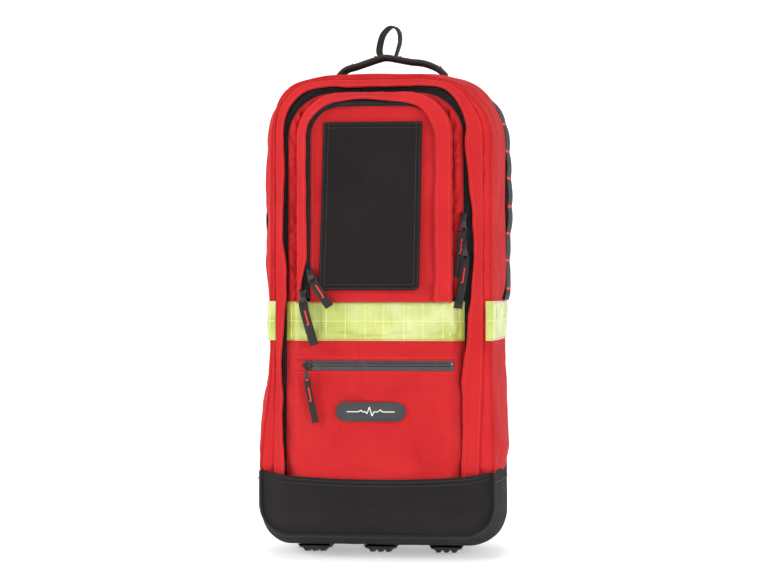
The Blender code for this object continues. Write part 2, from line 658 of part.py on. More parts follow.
def build_handle(webbing, handle):
    """The grab handle across the top, and the hanging loop sewn to its middle."""
    y = HANDLE_HINGE.y
    end, shoulder, foot, spread = 0.0755, 0.016, 0.007, 0.013
    arm = [(end, 0.6340), (0.066, 0.6370), (0.045, 0.6420), (0.020, 0.6475), (0.0, 0.6500)]
    points = [(-x, y, z) for x, z in arm] + [(x, y, z) for x, z in arm[-2::-1]]
    centres = curve_points(points, 2)
    widths = [foot + spread * min(1, (end - abs(p.x)) / shoulder) for p in centres]
    ribbon("grab_handle", centres, [Vector((0, 1, 0))] * len(centres), widths, 0.0024, webbing, handle)

    loop = [(-0.008, 0.6520), (-0.013, 0.6630), (-0.011, 0.6780), (0.000, 0.6890)]
    loop += [(0.012, 0.6850), (0.016, 0.6700), (0.010, 0.6520)]
    centres = curve_points([(x, y, z) for x, z in loop], 2)
    count = len(centres)
    ribbon("hang_loop", centres, [Vector((0, 1, 0))] * count, [0.011] * count, 0.0018, webbing, handle)


# ---------------------------------------------------------------- the whole pack
def main():
    clear_scene()
    red = material("red_fabric", (0.62, 0.035, 0.045), 0.75)
    black = material("black_fabric", (0.035, 0.033, 0.034), 0.8)
    webbing = material("black_webbing", (0.03, 0.028, 0.028), 0.7)
    mesh_fabric = material("spacer_mesh", (0.03, 0.03, 0.032), 0.9)
    zip_black = material("zip_black", (0.012, 0.012, 0.013), 0.5)
    reflective = material("reflective_lime", (0.72, 0.85, 0.12), 0.15)
    rubber = material("grey_rubber", (0.06, 0.06, 0.065), 0.6)
    plastic = material("black_plastic", (0.02, 0.02, 0.02), 0.35)
    metal = material("black_slider_metal", (0.03, 0.03, 0.03), 0.3, 0.8)
    alloy = material("stay_aluminium", (0.75, 0.76, 0.78), 0.35, 1.0)
    board = material("frame_board", (0.85, 0.85, 0.83), 0.5)
    clear = material("clear_film", (0.8, 0.82, 0.82), 0.1)

    lid = pivot("front_lid_hinge", LID_HINGE)
    pocket = pivot("pocket_panel_hinge", POCKET_HINGE)
    document = pivot("document_flap_hinge", DOCUMENT_HINGE)
    handle = pivot("handle_hinge", HANDLE_HINGE)
    release = pivot("sternum_release", Vector((STERNUM_MOUTH, STERNUM_Y, STERNUM_Z)))
    hips = {
        "left": pivot("hip_left_hinge", Vector((-HIP_HINGE_X, HIP_HINGE_Y, HIP_LOW))),
        "right": pivot("hip_right_hinge", Vector((HIP_HINGE_X, HIP_HINGE_Y, HIP_LOW))),
    }

    build_gusset(red)
    build_boot(black)
    build_back(red, black, board, alloy, mesh_fabric)
    build_skids(rubber)
    path = arch(ZIP_HALF, LID_LOW + 0.002, ZIP_TOP, ZIP_RADIUS)
    halves = (("outer", 1, 0.015, None), ("inner", -1, 0.005, lid))
    zip_tapes("main_zip", path, BORDER_FRONT - CLEARANCE, zip_black, halves)
    path = arch(0.131, LID_LOW + 0.002, 0.611, 0.077)
    storm_flap("main_storm_flap", path, BORDER_FRONT - 2 * CLEARANCE - ZIP_TAPE, 0.006, 0.0125, red)
    build_side_bands(reflective)
    build_daisy_chains(webbing)

    build_lid(red, zip_black, reflective, rubber, lid)
    path = arch(POCKET_ZIP_HALF, POCKET_LOW + 0.003, POCKET_ZIP_TOP, POCKET_ZIP_RADIUS)
    halves = (("outer", 1, 0.0095, lid), ("inner", -1, 0.008, pocket))
    zip_tapes("pocket_zip", path, POCKET_FACE - CLEARANCE, zip_black, halves)
    build_pocket_panel(red, clear, pocket)
    build_document_flap(black, document)
    build_zip_hardware(metal, webbing, lid)

    build_shoulder_straps(black, webbing, plastic)
    build_sternum_strap(webbing, plastic, release)
    build_hip_belt(black, webbing, plastic, hips)
    build_handle(webbing, handle)


main()
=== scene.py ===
"""The looks of the trauma backpack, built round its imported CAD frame.

The larger soft walls are fine sheets that a cloth simulation has settled, with bands, webbing, zips and badge
laid on them afterwards. Units are metres, in the frame's own axes: -Y is the pack's front and +Z is up.
"""

import json
import math

import bmesh
import bpy
import numpy as np
from mathutils import Matrix, Vector, noise
from mathutils.bvhtree import BVHTree


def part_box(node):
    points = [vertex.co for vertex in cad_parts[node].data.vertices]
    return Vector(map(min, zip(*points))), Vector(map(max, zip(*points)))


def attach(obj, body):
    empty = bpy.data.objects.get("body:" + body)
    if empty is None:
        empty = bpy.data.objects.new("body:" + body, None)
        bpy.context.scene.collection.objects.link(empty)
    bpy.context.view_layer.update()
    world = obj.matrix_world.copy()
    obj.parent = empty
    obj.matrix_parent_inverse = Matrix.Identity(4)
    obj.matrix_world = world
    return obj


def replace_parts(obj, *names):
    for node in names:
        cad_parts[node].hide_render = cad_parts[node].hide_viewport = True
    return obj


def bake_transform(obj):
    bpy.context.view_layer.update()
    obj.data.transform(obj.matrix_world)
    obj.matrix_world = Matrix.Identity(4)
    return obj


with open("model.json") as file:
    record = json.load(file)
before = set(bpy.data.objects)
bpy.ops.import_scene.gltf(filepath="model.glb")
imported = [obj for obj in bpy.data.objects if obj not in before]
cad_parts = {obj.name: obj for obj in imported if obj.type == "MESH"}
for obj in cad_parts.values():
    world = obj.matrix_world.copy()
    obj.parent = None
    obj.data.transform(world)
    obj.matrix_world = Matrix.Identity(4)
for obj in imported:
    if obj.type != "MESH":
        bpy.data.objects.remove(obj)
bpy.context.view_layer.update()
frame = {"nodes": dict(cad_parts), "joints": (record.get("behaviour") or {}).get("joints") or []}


# ---------------------------------------------------------------- places, read from the frame
def low(node):
    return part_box(node)[0]


def high(node):
    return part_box(node)[1]


def middle_and_half(node):
    """The middle of a node's box, and half its size each way."""
    corner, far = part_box(node)
    return (corner + far) / 2, (far - corner) / 2


MM = 0.001
ACROSS, UP, FRONT, BACKWARD = (1, 0, 0), Vector((0, 0, 1)), (0, -1, 0), (0, 1, 0)
AHEAD = -0.3  # a depth well in front of the pack, where rays towards it start
ZIP_HALF, ZIP_TOP, ZIP_RADIUS = high("main_zip_inner_tape").x, high("main_zip_inner_tape").z, 0.062
POCKET_RADIUS, WALL_RADIUS, SEAM_RADIUS = 0.042, 0.0545, 0.077
SEAM_HALF, SEAM_TOP = high("main_storm_flap").x, high("main_storm_flap").z
WALL_HALF, WALL_TOP = high("pocket_gusset").x, high("pocket_gusset").z
PANEL_HALF, PANEL_TOP = high("pocket_panel").x, high("pocket_panel").z
PANEL_LOW = low("pocket_panel").z
BORDER = low("gusset_shell").y
BACK_SEAM = high("gusset_shell").y
BACK_FACE = high("back_panel").y
BOOT_TOP, BOOT_LOW = high("base_boot").z, low("base_boot").z
BAND_LOW, BAND_HIGH = low("reflective_band_left").z, high("reflective_band_left").z
LOWER_FRONT, POCKET_FACE = low("lower_front_panel").y, low("pocket_panel").y
FLAP_LOW, FLAP_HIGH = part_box("document_flap")


# ---------------------------------------------------------------- materials
class Shade:
    """A procedural material in the making: its Principled shader, and shorthands for the nodes that feed it."""

    def __init__(self, name, roughness=0.6, metallic=0.0, specular=0.5):
        self.material = bpy.data.materials.new(name)
        self.material.use_nodes = True
        self.tree = self.material.node_tree
        self.shader = self.tree.nodes["Principled BSDF"]
        self.set("Roughness", roughness)
        self.set("Metallic", metallic)
        self.set("Specular IOR Level", specular)

    def set(self, socket, value):
        self.feed(self.shader.inputs[socket], value)

    def feed(self, socket, value):
        if isinstance(value, bpy.types.NodeSocket):
            self.tree.links.new(value, socket)
        elif isinstance(value, tuple) and len(value) == 3 and socket.type == "RGBA":
            socket.default_value = (*value, 1)
        else:
            socket.default_value = value

    def node(self, kind, inputs=(), **settings):
        made = self.tree.nodes.new(kind)
        for key, value in settings.items():
            setattr(made, key, value)
        for key, value in dict(inputs).items():
            self.feed(made.inputs[key], value)
        return made

    def calc(self, operation, *values):
        return self.node("ShaderNodeMath", enumerate(values), operation=operation).outputs[0]

    def spot(self):
        """The point on the object, in metres, in the pack's frame at rest."""
        return self.node("ShaderNodeTexCoord").outputs["Object"]

    def uv(self):
        """The two flat coordinates of a sheet, in metres."""
        split = self.node("ShaderNodeSeparateXYZ", {0: self.node("ShaderNodeUVMap").outputs[0]})
        return split.outputs[0], split.outputs[1]

    def noise(self, scale, detail=3.0, roughness=0.55, vector=None, stretch=None):
        vector = vector or self.spot()
        if stretch:
            vector = self.node("ShaderNodeMapping", {"Vector": vector, "Scale": stretch}).outputs[0]
        inputs = {"Vector": vector, "Scale": scale, "Detail": detail, "Roughness": roughness}
        return self.node("ShaderNodeTexNoise", inputs).outputs[0]

    def span(self, value, low_in, high_in, low_out=0.0, high_out=1.0):
        values = value, low_in, high_in, low_out, high_out
        return self.node("ShaderNodeMapRange", enumerate(values)).outputs[0]

    def blend(self, share, first, second):
        made = self.node("ShaderNodeMix", data_type="RGBA")
        for index, value in ((0, share), (6, first), (7, second)):
            self.feed(made.inputs[index], value)
        return made.outputs[2]

    def waves(self, value, pitch):
        """A sine of the value with the given wavelength, from -1 to 1."""
        return self.calc("SINE", self.calc("MULTIPLY", value, 2 * math.pi / pitch))

    def bump(self, height, distance, under=None):
        inputs = {"Height": height, "Distance": distance, "Strength": 1.0}
        made = self.node("ShaderNodeBump", inputs)
        if under is not None:
            self.feed(made.inputs["Normal"], under)
        self.feed(self.shader.inputs["Normal"], made.outputs[0])
        return made.outputs[0]


def fabric(name, colour, dark, light, pitch=0.0009, roughness=0.78, sheen=0.035, grain=0.00018):
    """A woven fabric: a plain weave of the given pitch, with slubs, faint soiling and a lighter worn cast."""
    shade = Shade(name, roughness, specular=0.07)
    shade.set("Sheen Weight", sheen)
    shade.set("Sheen Roughness", 0.4)
    u, v = shade.uv()
    weave = shade.calc("MULTIPLY", shade.waves(u, pitch), shade.waves(v, pitch))
    slub = shade.noise(900, 2.0)
    broad = shade.noise(14, 4.0)
    base = shade.blend(shade.span(broad, 0.3, 0.7), dark, colour)
    base = shade.blend(shade.span(weave, 0.2, 1.6), base, light)
    shade.set("Base Color", base)
    shade.set("Roughness", shade.span(shade.noise(60, 3.0), 0.3, 0.7, roughness - 0.09, roughness + 0.08))
    first = shade.bump(shade.noise(120, 3.0), 0.0006)
    height = shade.calc("ADD", weave, shade.calc("MULTIPLY", slub, 0.9))
    shade.bump(height, grain, first)
    return shade.material


def webbing_material(name, colour, light, pitch=0.0017):
    """Ribbed webbing: cords along its length, crossed by a short zigzag."""
    shade = Shade(name, 0.7, specular=0.25)
    shade.set("Sheen Weight", 0.08)
    shade.set("Sheen Roughness", 0.35)
    u, v = shade.uv()
    zigzag = shade.calc("PINGPONG", u, 0.0011)
    across = shade.calc("ADD", v, shade.calc("MULTIPLY", zigzag, 0.7))
    cords = shade.calc("ABSOLUTE", shade.waves(across, 2 * pitch))
    picks = shade.waves(u, 0.0014)
    height = shade.calc("ADD", cords, shade.calc("MULTIPLY", picks, 0.25))
    wear = shade.span(shade.noise(45, 4.0), 0.42, 0.75)
    base = shade.blend(shade.calc("MULTIPLY", cords, 0.5), colour, light)
    shade.set("Base Color", shade.blend(shade.calc("MULTIPLY", wear, 0.35), base, light))
    shade.bump(height, 0.00035, shade.bump(shade.noise(300, 2.0), 0.0003))
    return shade.material


def mesh_material(name):
    """Spacer mesh: a field of small round holes over a darker backing."""
    shade = Shade(name, 0.8, specular=0.25)
    shade.set("Sheen Weight", 0.1)
    u, v = shade.uv()
    rows = shade.calc("MULTIPLY", shade.waves(u, 0.0042), shade.waves(v, 0.0030))
    hole = shade.span(rows, 0.15, 0.6)
    shade.set("Base Color", shade.blend(hole, (0.024, 0.024, 0.026), (0.005, 0.005, 0.006)))
    shade.bump(shade.calc("SUBTRACT", 1.0, hole), 0.0007, shade.bump(shade.noise(700, 2.0), 0.0002))
    return shade.material


def reflective_material(name):
    """Fluorescent prismatic vinyl: tiny prism facets under a clear, slightly rippled gloss, with patches of painted
    glare in its colour.
    """
    shade = Shade(name, 0.22, specular=0.6)
    shade.set("Coat Weight", 1.0)
    shade.set("Coat Roughness", 0.10)
    u, v = shade.uv()
    first = shade.calc("ABSOLUTE", shade.waves(shade.calc("ADD", u, v), 0.0062))
    second = shade.calc("ABSOLUTE", shade.waves(shade.calc("SUBTRACT", u, v), 0.0062))
    prism = shade.calc("MULTIPLY", first, second)
    cloud = shade.noise(38, 3.0)
    base = shade.blend(shade.span(cloud, 0.35, 0.68), (0.34, 0.41, 0.033), (0.48, 0.53, 0.09))
    base = shade.blend(shade.calc("MULTIPLY", shade.span(prism, 0.45, 0.95), 0.5), base, (0.66, 0.71, 0.28))
    # Painted glare: where a broad noise is high, pale highlight patches are mixed into the base colour.
    painted_glare = shade.calc("MULTIPLY", shade.span(shade.noise(11, 2.0), 0.52, 0.68), 0.42)
    shade.set("Base Color", shade.blend(painted_glare, base, (0.76, 0.79, 0.46)))
    shade.set("Roughness", shade.span(prism, 0.0, 1.0, 0.16, 0.38))
    ripple = shade.bump(shade.noise(42, 3.0), 0.0035)
    shade.bump(prism, 0.00025, ripple)
    return shade.material


def solid(name, colour, light, roughness, metallic=0.0, grain=0.00012, scale=900, coat=0.0):
    """Moulded or painted material: fine grain, faint blotches and a little scuffing."""
    shade = Shade(name, roughness, metallic)
    shade.set("Coat Weight", coat)
    scuff = shade.span(shade.noise(70, 5.0, 0.7), 0.52, 0.74)
    shade.set("Base Color", shade.blend(shade.calc("MULTIPLY", scuff, 0.6), colour, light))
    shade.set("Roughness", shade.span(shade.noise(35, 4.0), 0.3, 0.7, roughness - 0.08, roughness + 0.1))
    shade.bump(shade.noise(scale, 2.0), grain, shade.bump(scuff, 0.0001))
    return shade.material


def film_material(name):
    """The clear window film: soft, glossy and faintly creased."""
    shade = Shade(name, 0.12, specular=0.5)
    haze = shade.span(shade.noise(20), 0.3, 0.7)
    shade.set("Base Color", shade.blend(haze, (0.72, 0.75, 0.76), (0.85, 0.87, 0.87)))
    shade.set("Alpha", 0.32)
    shade.set("Coat Weight", 0.5)
    shade.bump(shade.noise(40, 2.0), 0.002)
    return shade.material


def brushed_material(name):
    """Aluminium bar, brushed along its height."""
    shade = Shade(name, 0.35, 1.0)
    lines = shade.noise(1.0, 3.0, stretch=(1500, 1500, 12))
    shade.set("Base Color", shade.blend(lines, (0.62, 0.63, 0.65), (0.8, 0.81, 0.83)))
    shade.set("Roughness", shade.span(lines, 0.3, 0.7, 0.28, 0.45))
    shade.bump(lines, 0.00006)
    return shade.material


RED = fabric("red_nylon", (0.590, 0.024, 0.027), (0.510, 0.016, 0.019),
             (0.700, 0.050, 0.055), pitch=0.0011)
RED_PIPING = fabric("red_piping", (0.560, 0.022, 0.025), (0.490, 0.015, 0.017),
                    (0.660, 0.047, 0.052), pitch=0.0012)
BLACK = fabric("black_nylon", (0.0215, 0.0190, 0.0196), (0.016, 0.0144, 0.0149),
               (0.044, 0.040, 0.040), pitch=0.0014, roughness=0.8, grain=0.00028)
FLAP_BLACK = fabric("flap_twill", (0.0185, 0.0155, 0.0160), (0.0145, 0.0122, 0.0126),
                    (0.037, 0.033, 0.033), pitch=0.0010, roughness=0.84, grain=0.00022)
LINING = fabric("grey_lining", (0.11, 0.11, 0.115), (0.085, 0.085, 0.09), (0.16, 0.16, 0.165), pitch=0.0012)
WEBBING = webbing_material("black_webbing", (0.0130, 0.0120, 0.0122), (0.042, 0.040, 0.040))
BINDING = webbing_material("edge_binding", (0.0125, 0.0118, 0.0118), (0.034, 0.032, 0.032), pitch=0.0010)
MESH = mesh_material("spacer_mesh")
TAPE = webbing_material("zip_tape", (0.010, 0.010, 0.011), (0.030, 0.030, 0.031), pitch=0.0007)
TEETH = solid("zip_coil", (0.012, 0.012, 0.013), (0.05, 0.05, 0.052), 0.32, grain=0.00004)
GLOSS = solid("coated_zip", (0.010, 0.010, 0.011), (0.035, 0.035, 0.036), 0.2, grain=0.00008, scale=400,
              coat=0.6)
LIME = reflective_material("lime_vinyl")
WELD = solid("welded_line", (0.78, 0.84, 0.22), (0.88, 0.92, 0.45), 0.25, grain=0.0001, coat=0.6)
RUBBER = solid("dark_rubber", (0.030, 0.031, 0.034), (0.075, 0.075, 0.08), 0.6, grain=0.00022)
SKID_RUBBER = solid("skid_rubber", (0.013, 0.013, 0.014), (0.06, 0.058, 0.056), 0.66, grain=0.0003, scale=500)
MARK = solid("badge_mark", (0.74, 0.74, 0.72), (0.6, 0.6, 0.58), 0.55)
PLASTIC = solid("buckle_plastic", (0.016, 0.016, 0.017), (0.06, 0.06, 0.062), 0.42, grain=0.0001)
METAL = solid("slider_enamel", (0.022, 0.022, 0.023), (0.20, 0.195, 0.19), 0.3, metallic=0.75, grain=0.00004)
RED_THREAD = solid("red_thread", (0.74, 0.035, 0.032), (0.86, 0.10, 0.09), 0.6, grain=0.0001)
BLACK_THREAD = solid("black_thread", (0.035, 0.033, 0.033), (0.095, 0.09, 0.09), 0.5, grain=0.0001)
BOARD = solid("frame_board", (0.74, 0.74, 0.71), (0.6, 0.6, 0.57), 0.5, grain=0.0002)
FILM = film_material("clear_film")
ALLOY = brushed_material("stay_aluminium")
MATERIALS_IN_SLOTS = {
    "red_fabric": (RED, RED_PIPING, RED_THREAD),
    "black_fabric": (BLACK, FLAP_BLACK, LINING, BINDING),
    "webbing": (WEBBING, BLACK_THREAD),
    "spacer_mesh": (MESH,),
    "zip_tape": (TAPE, TEETH, GLOSS),
    "reflective_vinyl": (LIME, WELD),
    "rubber": (RUBBER, SKID_RUBBER, MARK),
    "buckle_plastic": (PLASTIC,),
    "slider_metal": (METAL,),
    "clear_film": (FILM,),
}
SLOTS = {material.name: slot for slot, materials in MATERIALS_IN_SLOTS.items() for material in materials}


# ---------------------------------------------------------------- meshes
def smooth(share):
    share = min(max(share, 0.0), 1.0)
    return share * share * (3 - 2 * share)


def mix(first, last, share):
    return first + (last - first) * share


def shares(count, first=0.0, last=1.0):
    """Even steps from first to last: count of them, so one more value."""
    return [mix(first, last, i / count) for i in range(count + 1)]


def drawn_in(depth, radius):
    """How far a round corner has drawn an edge in, at a depth into the corner."""
    share = min(max(depth / radius, 0.0), 1.0)
    return radius * (1 - math.sqrt(1 - share * share))


def flipped(rows):
    """The same rows of points, facing the other way."""
    return [row[::-1] for row in rows]


def wave(x, y=0.0, z=0.0, seed=0):
    """Smooth noise from about -1 to 1 at a point given in wavelengths."""
    return noise.noise(Vector((x + 17.3 * seed, y - 9.1 * seed, z + 3.7 * seed)))


def ridge(x, y=0.0, z=0.0, seed=0):
    """Folded noise from 0 to 1, with soft crests and sharper valleys, as gathered cloth has."""
    return 1 - min(1.0, abs(wave(x, y, z, seed)) * 2.2)


def show(name, mesh, material, body, slot=None):
    """Links a mesh as a piece that rides on a body. Its slot, given or taken from its material, is looked up but not
    kept.
    """
    mesh.materials.append(material)
    mesh.shade_smooth()
    obj = bpy.data.objects.new(name, mesh)
    bpy.context.scene.collection.objects.link(obj)
    if body:
        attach(obj, body)
    slot or SLOTS[material.name]
    return obj


def sheet_mesh(name, points, thickness=0.0, closed=False):
    """A mesh from rows of points, with UVs in metres. With a thickness it is a closed slab behind the points."""
    points = np.array(points, float)
    rows, columns = points.shape[:2]
    layers = [points]
    if thickness:
        along_rows, along_columns = np.gradient(points, axis=0), np.gradient(points, axis=1)
        normal = np.cross(along_columns, along_rows)
        length = np.linalg.norm(normal, axis=2, keepdims=True)
        layers.append(points - normal / np.maximum(length, 1e-12) * thickness)
    verts = np.concatenate([layer.reshape(-1, 3) for layer in layers])
    across = np.cumsum(np.r_[0, np.linalg.norm(np.diff(points[rows // 2], axis=0), axis=1)])
    down = np.cumsum(np.r_[0, np.linalg.norm(np.diff(points[:, columns // 2], axis=0), axis=1)])
    coordinate = np.stack(np.meshgrid(across, down), axis=2).reshape(-1, 2)
    faces, flat = [], []

    def add(*corners):
        faces.append(corners)
        flat.extend(coordinate[c % (rows * columns)] for c in corners)

    wrap = columns if closed else columns - 1
    size = rows * columns
    for i in range(rows - 1):
        for j in range(wrap):
            k = (j + 1) % columns
            a, b, c, d = i * columns + j, i * columns + k, (i + 1) * columns + k, (i + 1) * columns + j
            add(a, b, c, d)
            if thickness:
                add(d + size, c + size, b + size, a + size)
    if thickness:
        edges = []
        if not closed:
            edges.append([(i, 0) for i in range(rows)])
            edges.append([(i, columns - 1) for i in reversed(range(rows))])
        edges.append([(0, j % columns) for j in reversed(range(wrap + 1))])
        edges.append([(rows - 1, j % columns) for j in range(wrap + 1)])
        for edge in edges:
            for (i, j), (m, n) in zip(edge, edge[1:]):
                a, b = i * columns + j, m * columns + n
                add(a, b, b + size, a + size)
    mesh = bpy.data.meshes.new(name)
    mesh.from_pydata(verts.tolist(), [], faces)
    layer = mesh.uv_layers.new(name="UVMap")
    layer.data.foreach_set("uv", np.array(flat, np.float32).reshape(-1))
    mesh.validate()
    return mesh


def sheet(name, points, material, body, thickness=0.0, slot=None, rounds=0, closed=False):
    """A sheet or slab piece from rows of points. rounds is its levels of subdivision."""
    obj = show(name, sheet_mesh(name, points, thickness, closed), material, body, slot)
    if rounds:
        rounding(obj, rounds)
    return obj


def grid(rows, columns, place):
    """Rows of points: place(share down, share across) gives each."""
    return [[tuple(place(i / (rows - 1), j / (columns - 1))) for j in range(columns)] for i in range(rows)]


class Line:
    """A polyline read by the share of its length."""

    def __init__(self, points):
        self.points = np.array([tuple(p) for p in points], float)
        steps = np.linalg.norm(np.diff(self.points, axis=0), axis=1)
        self.along = np.r_[0, np.cumsum(steps)]
        self.length = self.along[-1]

    def at(self, share):
        distance = share * self.length
        return [float(np.interp(distance, self.along, column)) for column in self.points.T]

    def direction(self, share):
        step = 0.5 * MM / self.length
        before, after = (np.array(self.at(min(max(s, 0), 1))) for s in (share - step, share + step))
        return (after - before) / np.linalg.norm(after - before)

    def outward(self, share):
        """For a line in the XZ plane from a left foot over the top: the direction out of the arch."""
        x, z = self.direction(share)
        return -z, x


def arch(half, foot, top, radius, side=None):
    """An arch in the XZ plane from its left foot to its right. side gives its half-width at a height."""
    turn = [math.radians(a) for a in range(180, 89, -5)]
    left = [(radius - half + radius * math.cos(a), top - radius + radius * math.sin(a)) for a in turn]
    count = max(2, int((top - radius - foot) / 0.006))
    heights = [foot + (top - radius - foot) * i / count for i in range(count)]
    left = [(-(side(z) if side else half), z) for z in heights] + left
    return Line(left + [(-x, z) for x, z in reversed(left)])


def tube(name, points, radius, material, body, sides=8, closed=False, slot=None):
    """A round bar along points, with round-ish ends. radius may be a function of the share along it."""
    points = [Vector(p) for p in points]
    count = len(points)
    rows, side = [], None
    for i, point in enumerate(points):
        before = points[i - 1] if i or closed else point
        after = points[(i + 1) % count] if i + 1 < count or closed else point
        along = (after - before).normalized()
        if side is None:
            side = along.orthogonal()
        side = (side - along * side.dot(along)).normalized()
        other = along.cross(side)
        size = radius(i / (count - 1)) if callable(radius) else radius
        turn = [2 * math.pi * k / sides for k in range(sides)]
        rows.append([point + (side * math.cos(a) + other * math.sin(a)) * size for a in turn])
    if closed:
        rows.append(rows[0])
    mesh = sheet_mesh(name, [[tuple(p) for p in row] for row in rows], closed=True)
    obj = show(name, mesh, material, body, slot)
    if not closed:
        cap_ends(obj)
    return obj


def cap_ends(obj):
    """Fills the open rings of a piece."""
    shape = bmesh.new()
    shape.from_mesh(obj.data)
    bmesh.ops.holes_fill(shape, edges=[e for e in shape.edges if e.is_boundary], sides=0)
    bmesh.ops.recalc_face_normals(shape, faces=shape.faces)
    shape.to_mesh(obj.data)
    shape.free()


def spline(points, steps=8):
    """A smooth curve through the given points."""
    points = [Vector(p) for p in points]
    knots = [points[0], *points, points[-1]]
    out = []
    for i in range(1, len(knots) - 2):
        a, b, c, d = knots[i - 1 : i + 3]
        for s in range(steps):
            t = s / steps
            bend = (2 * a - 5 * b + 4 * c - d) * t * t + (3 * b - 3 * c + d - a) * t ** 3
            out.append(0.5 * (2 * b + (c - a) * t + bend))
    out.append(points[-1])
    return out


def strap(name, centres, across, width, material, body, thickness=1.6 * MM, slot=None, crown=0.0, columns=7):
    """Flat webbing along centres. across is its width's direction; width may be a function of the share along."""
    line = [Vector(c) for c in centres]
    last = len(line) - 1
    rows = []
    for i, centre in enumerate(line):
        along = (line[min(i + 1, last)] - line[max(i - 1, 0)]).normalized()
        side = Vector(across(i / last) if callable(across) else across)
        side = (side - along * side.dot(along)).normalized()
        out = along.cross(side)
        wide = width(i / last) if callable(width) else width
        row = []
        for k in range(columns):
            v = 2 * k / (columns - 1) - 1
            lift = crown * (1 - v * v) - 0.25 * thickness * max(0, abs(v) - 0.8) / 0.2
            row.append(tuple(centre + side * (v * wide / 2) + out * (lift - thickness / 2)))
        rows.append(row)
    return sheet(name, rows, material, body, thickness, slot)


def moulded(centre, size, body, radius):
    """A plastic block with rounded edges, to be joined into a buckle or a lock."""
    shape = bmesh.new()
    bmesh.ops.create_cube(shape, size=1.0)
    bmesh.ops.scale(shape, vec=Vector(size), verts=shape.verts)
    bmesh.ops.translate(shape, vec=Vector(centre), verts=shape.verts)
    bmesh.ops.bevel(shape, geom=shape.edges[:], offset=radius, segments=3, affect="EDGES", profile=0.6)
    mesh = bpy.data.meshes.new("moulded")
    shape.to_mesh(mesh)
    shape.free()
    mesh.uv_layers.new(name="UVMap")
    obj = show("moulded", mesh, PLASTIC, body)
    mesh.set_sharp_from_angle(angle=math.radians(50))
    return obj


def join(name, pieces):
    """Joins pieces that ride on one body into one."""
    with bpy.context.temp_override(active_object=pieces[0], selected_editable_objects=pieces):
        bpy.ops.object.join()
    pieces[0].name = name
    return pieces[0]


def surface_of(*objects):
    """A searchable copy of pieces' surfaces as they stand."""
    graph = bpy.context.evaluated_depsgraph_get()
    verts, faces = [], []
    for obj in objects:
        mesh = obj.evaluated_get(graph).data
        start = len(verts)
        verts.extend(obj.matrix_world @ v.co for v in mesh.vertices)
        faces.extend([start + i for i in p.vertices] for p in mesh.polygons)
    return BVHTree.FromPolygons(verts, faces)


def drop(tree, start, direction, lift=0.0):
    """The point where a ray first meets a surface, raised towards the ray's start, or None."""
    direction = Vector(direction).normalized()
    hit = tree.ray_cast(Vector(start), direction)[0]
    return hit and hit - direction * lift


# ---------------------------------------------------------------- cloth
def settle(obj, pinned, frames, pressure, slack, bending, reach, gravity=0.0, inward=1 * MM):
    """Settles a sheet as cloth held at its pinned points, and applies the result.

    No point moves further than reach, or further than inward towards what the sheet covers.
    """
    scene = bpy.context.scene
    start = np.array([v.co for v in obj.data.vertices])
    group = obj.vertex_groups.new(name="pinned")
    group.add([i for i, point in enumerate(start) if pinned(Vector(point))], 1.0, "REPLACE")
    step = obj.modifiers.new("cloth", "CLOTH")
    cloth = step.settings
    cloth.quality = 6
    cloth.mass = 0.25
    cloth.tension_stiffness = cloth.compression_stiffness = 18
    cloth.shear_stiffness = 6
    cloth.bending_stiffness = bending
    cloth.tension_damping = cloth.compression_damping = 12
    cloth.air_damping = 3
    cloth.vertex_group_mass = "pinned"
    cloth.shrink_min = -slack
    cloth.use_pressure = pressure != 0
    cloth.uniform_pressure_force = pressure
    cloth.effector_weights.gravity = gravity
    step.collision_settings.use_collision = False
    step.point_cache.frame_start = 1
    step.point_cache.frame_end = frames
    for number in range(1, frames + 1):
        scene.frame_set(number)
    graph = bpy.context.evaluated_depsgraph_get()
    moved = np.array([v.co for v in obj.evaluated_get(graph).data.vertices])
    obj.modifiers.remove(step)
    obj.vertex_groups.remove(group)
    scene.frame_set(1)
    shift = moved - start
    normals = np.array([v.normal for v in obj.data.vertices])
    outward = np.sum(shift * normals, axis=1, keepdims=True)
    shift = shift + normals * (np.maximum(outward, -inward) - outward)
    length = np.maximum(np.linalg.norm(shift, axis=1, keepdims=True), 1e-9)
    kept = reach * np.tanh(length / reach)
    obj.data.vertices.foreach_set("co", (start + shift / length * kept).astype(np.float32).reshape(-1))
    obj.data.update()


def rounding(obj, levels=1):
    """Rounds a piece by subdivision."""
    step = obj.modifiers.new("rounding", "SUBSURF")
    step.levels = step.render_levels = levels


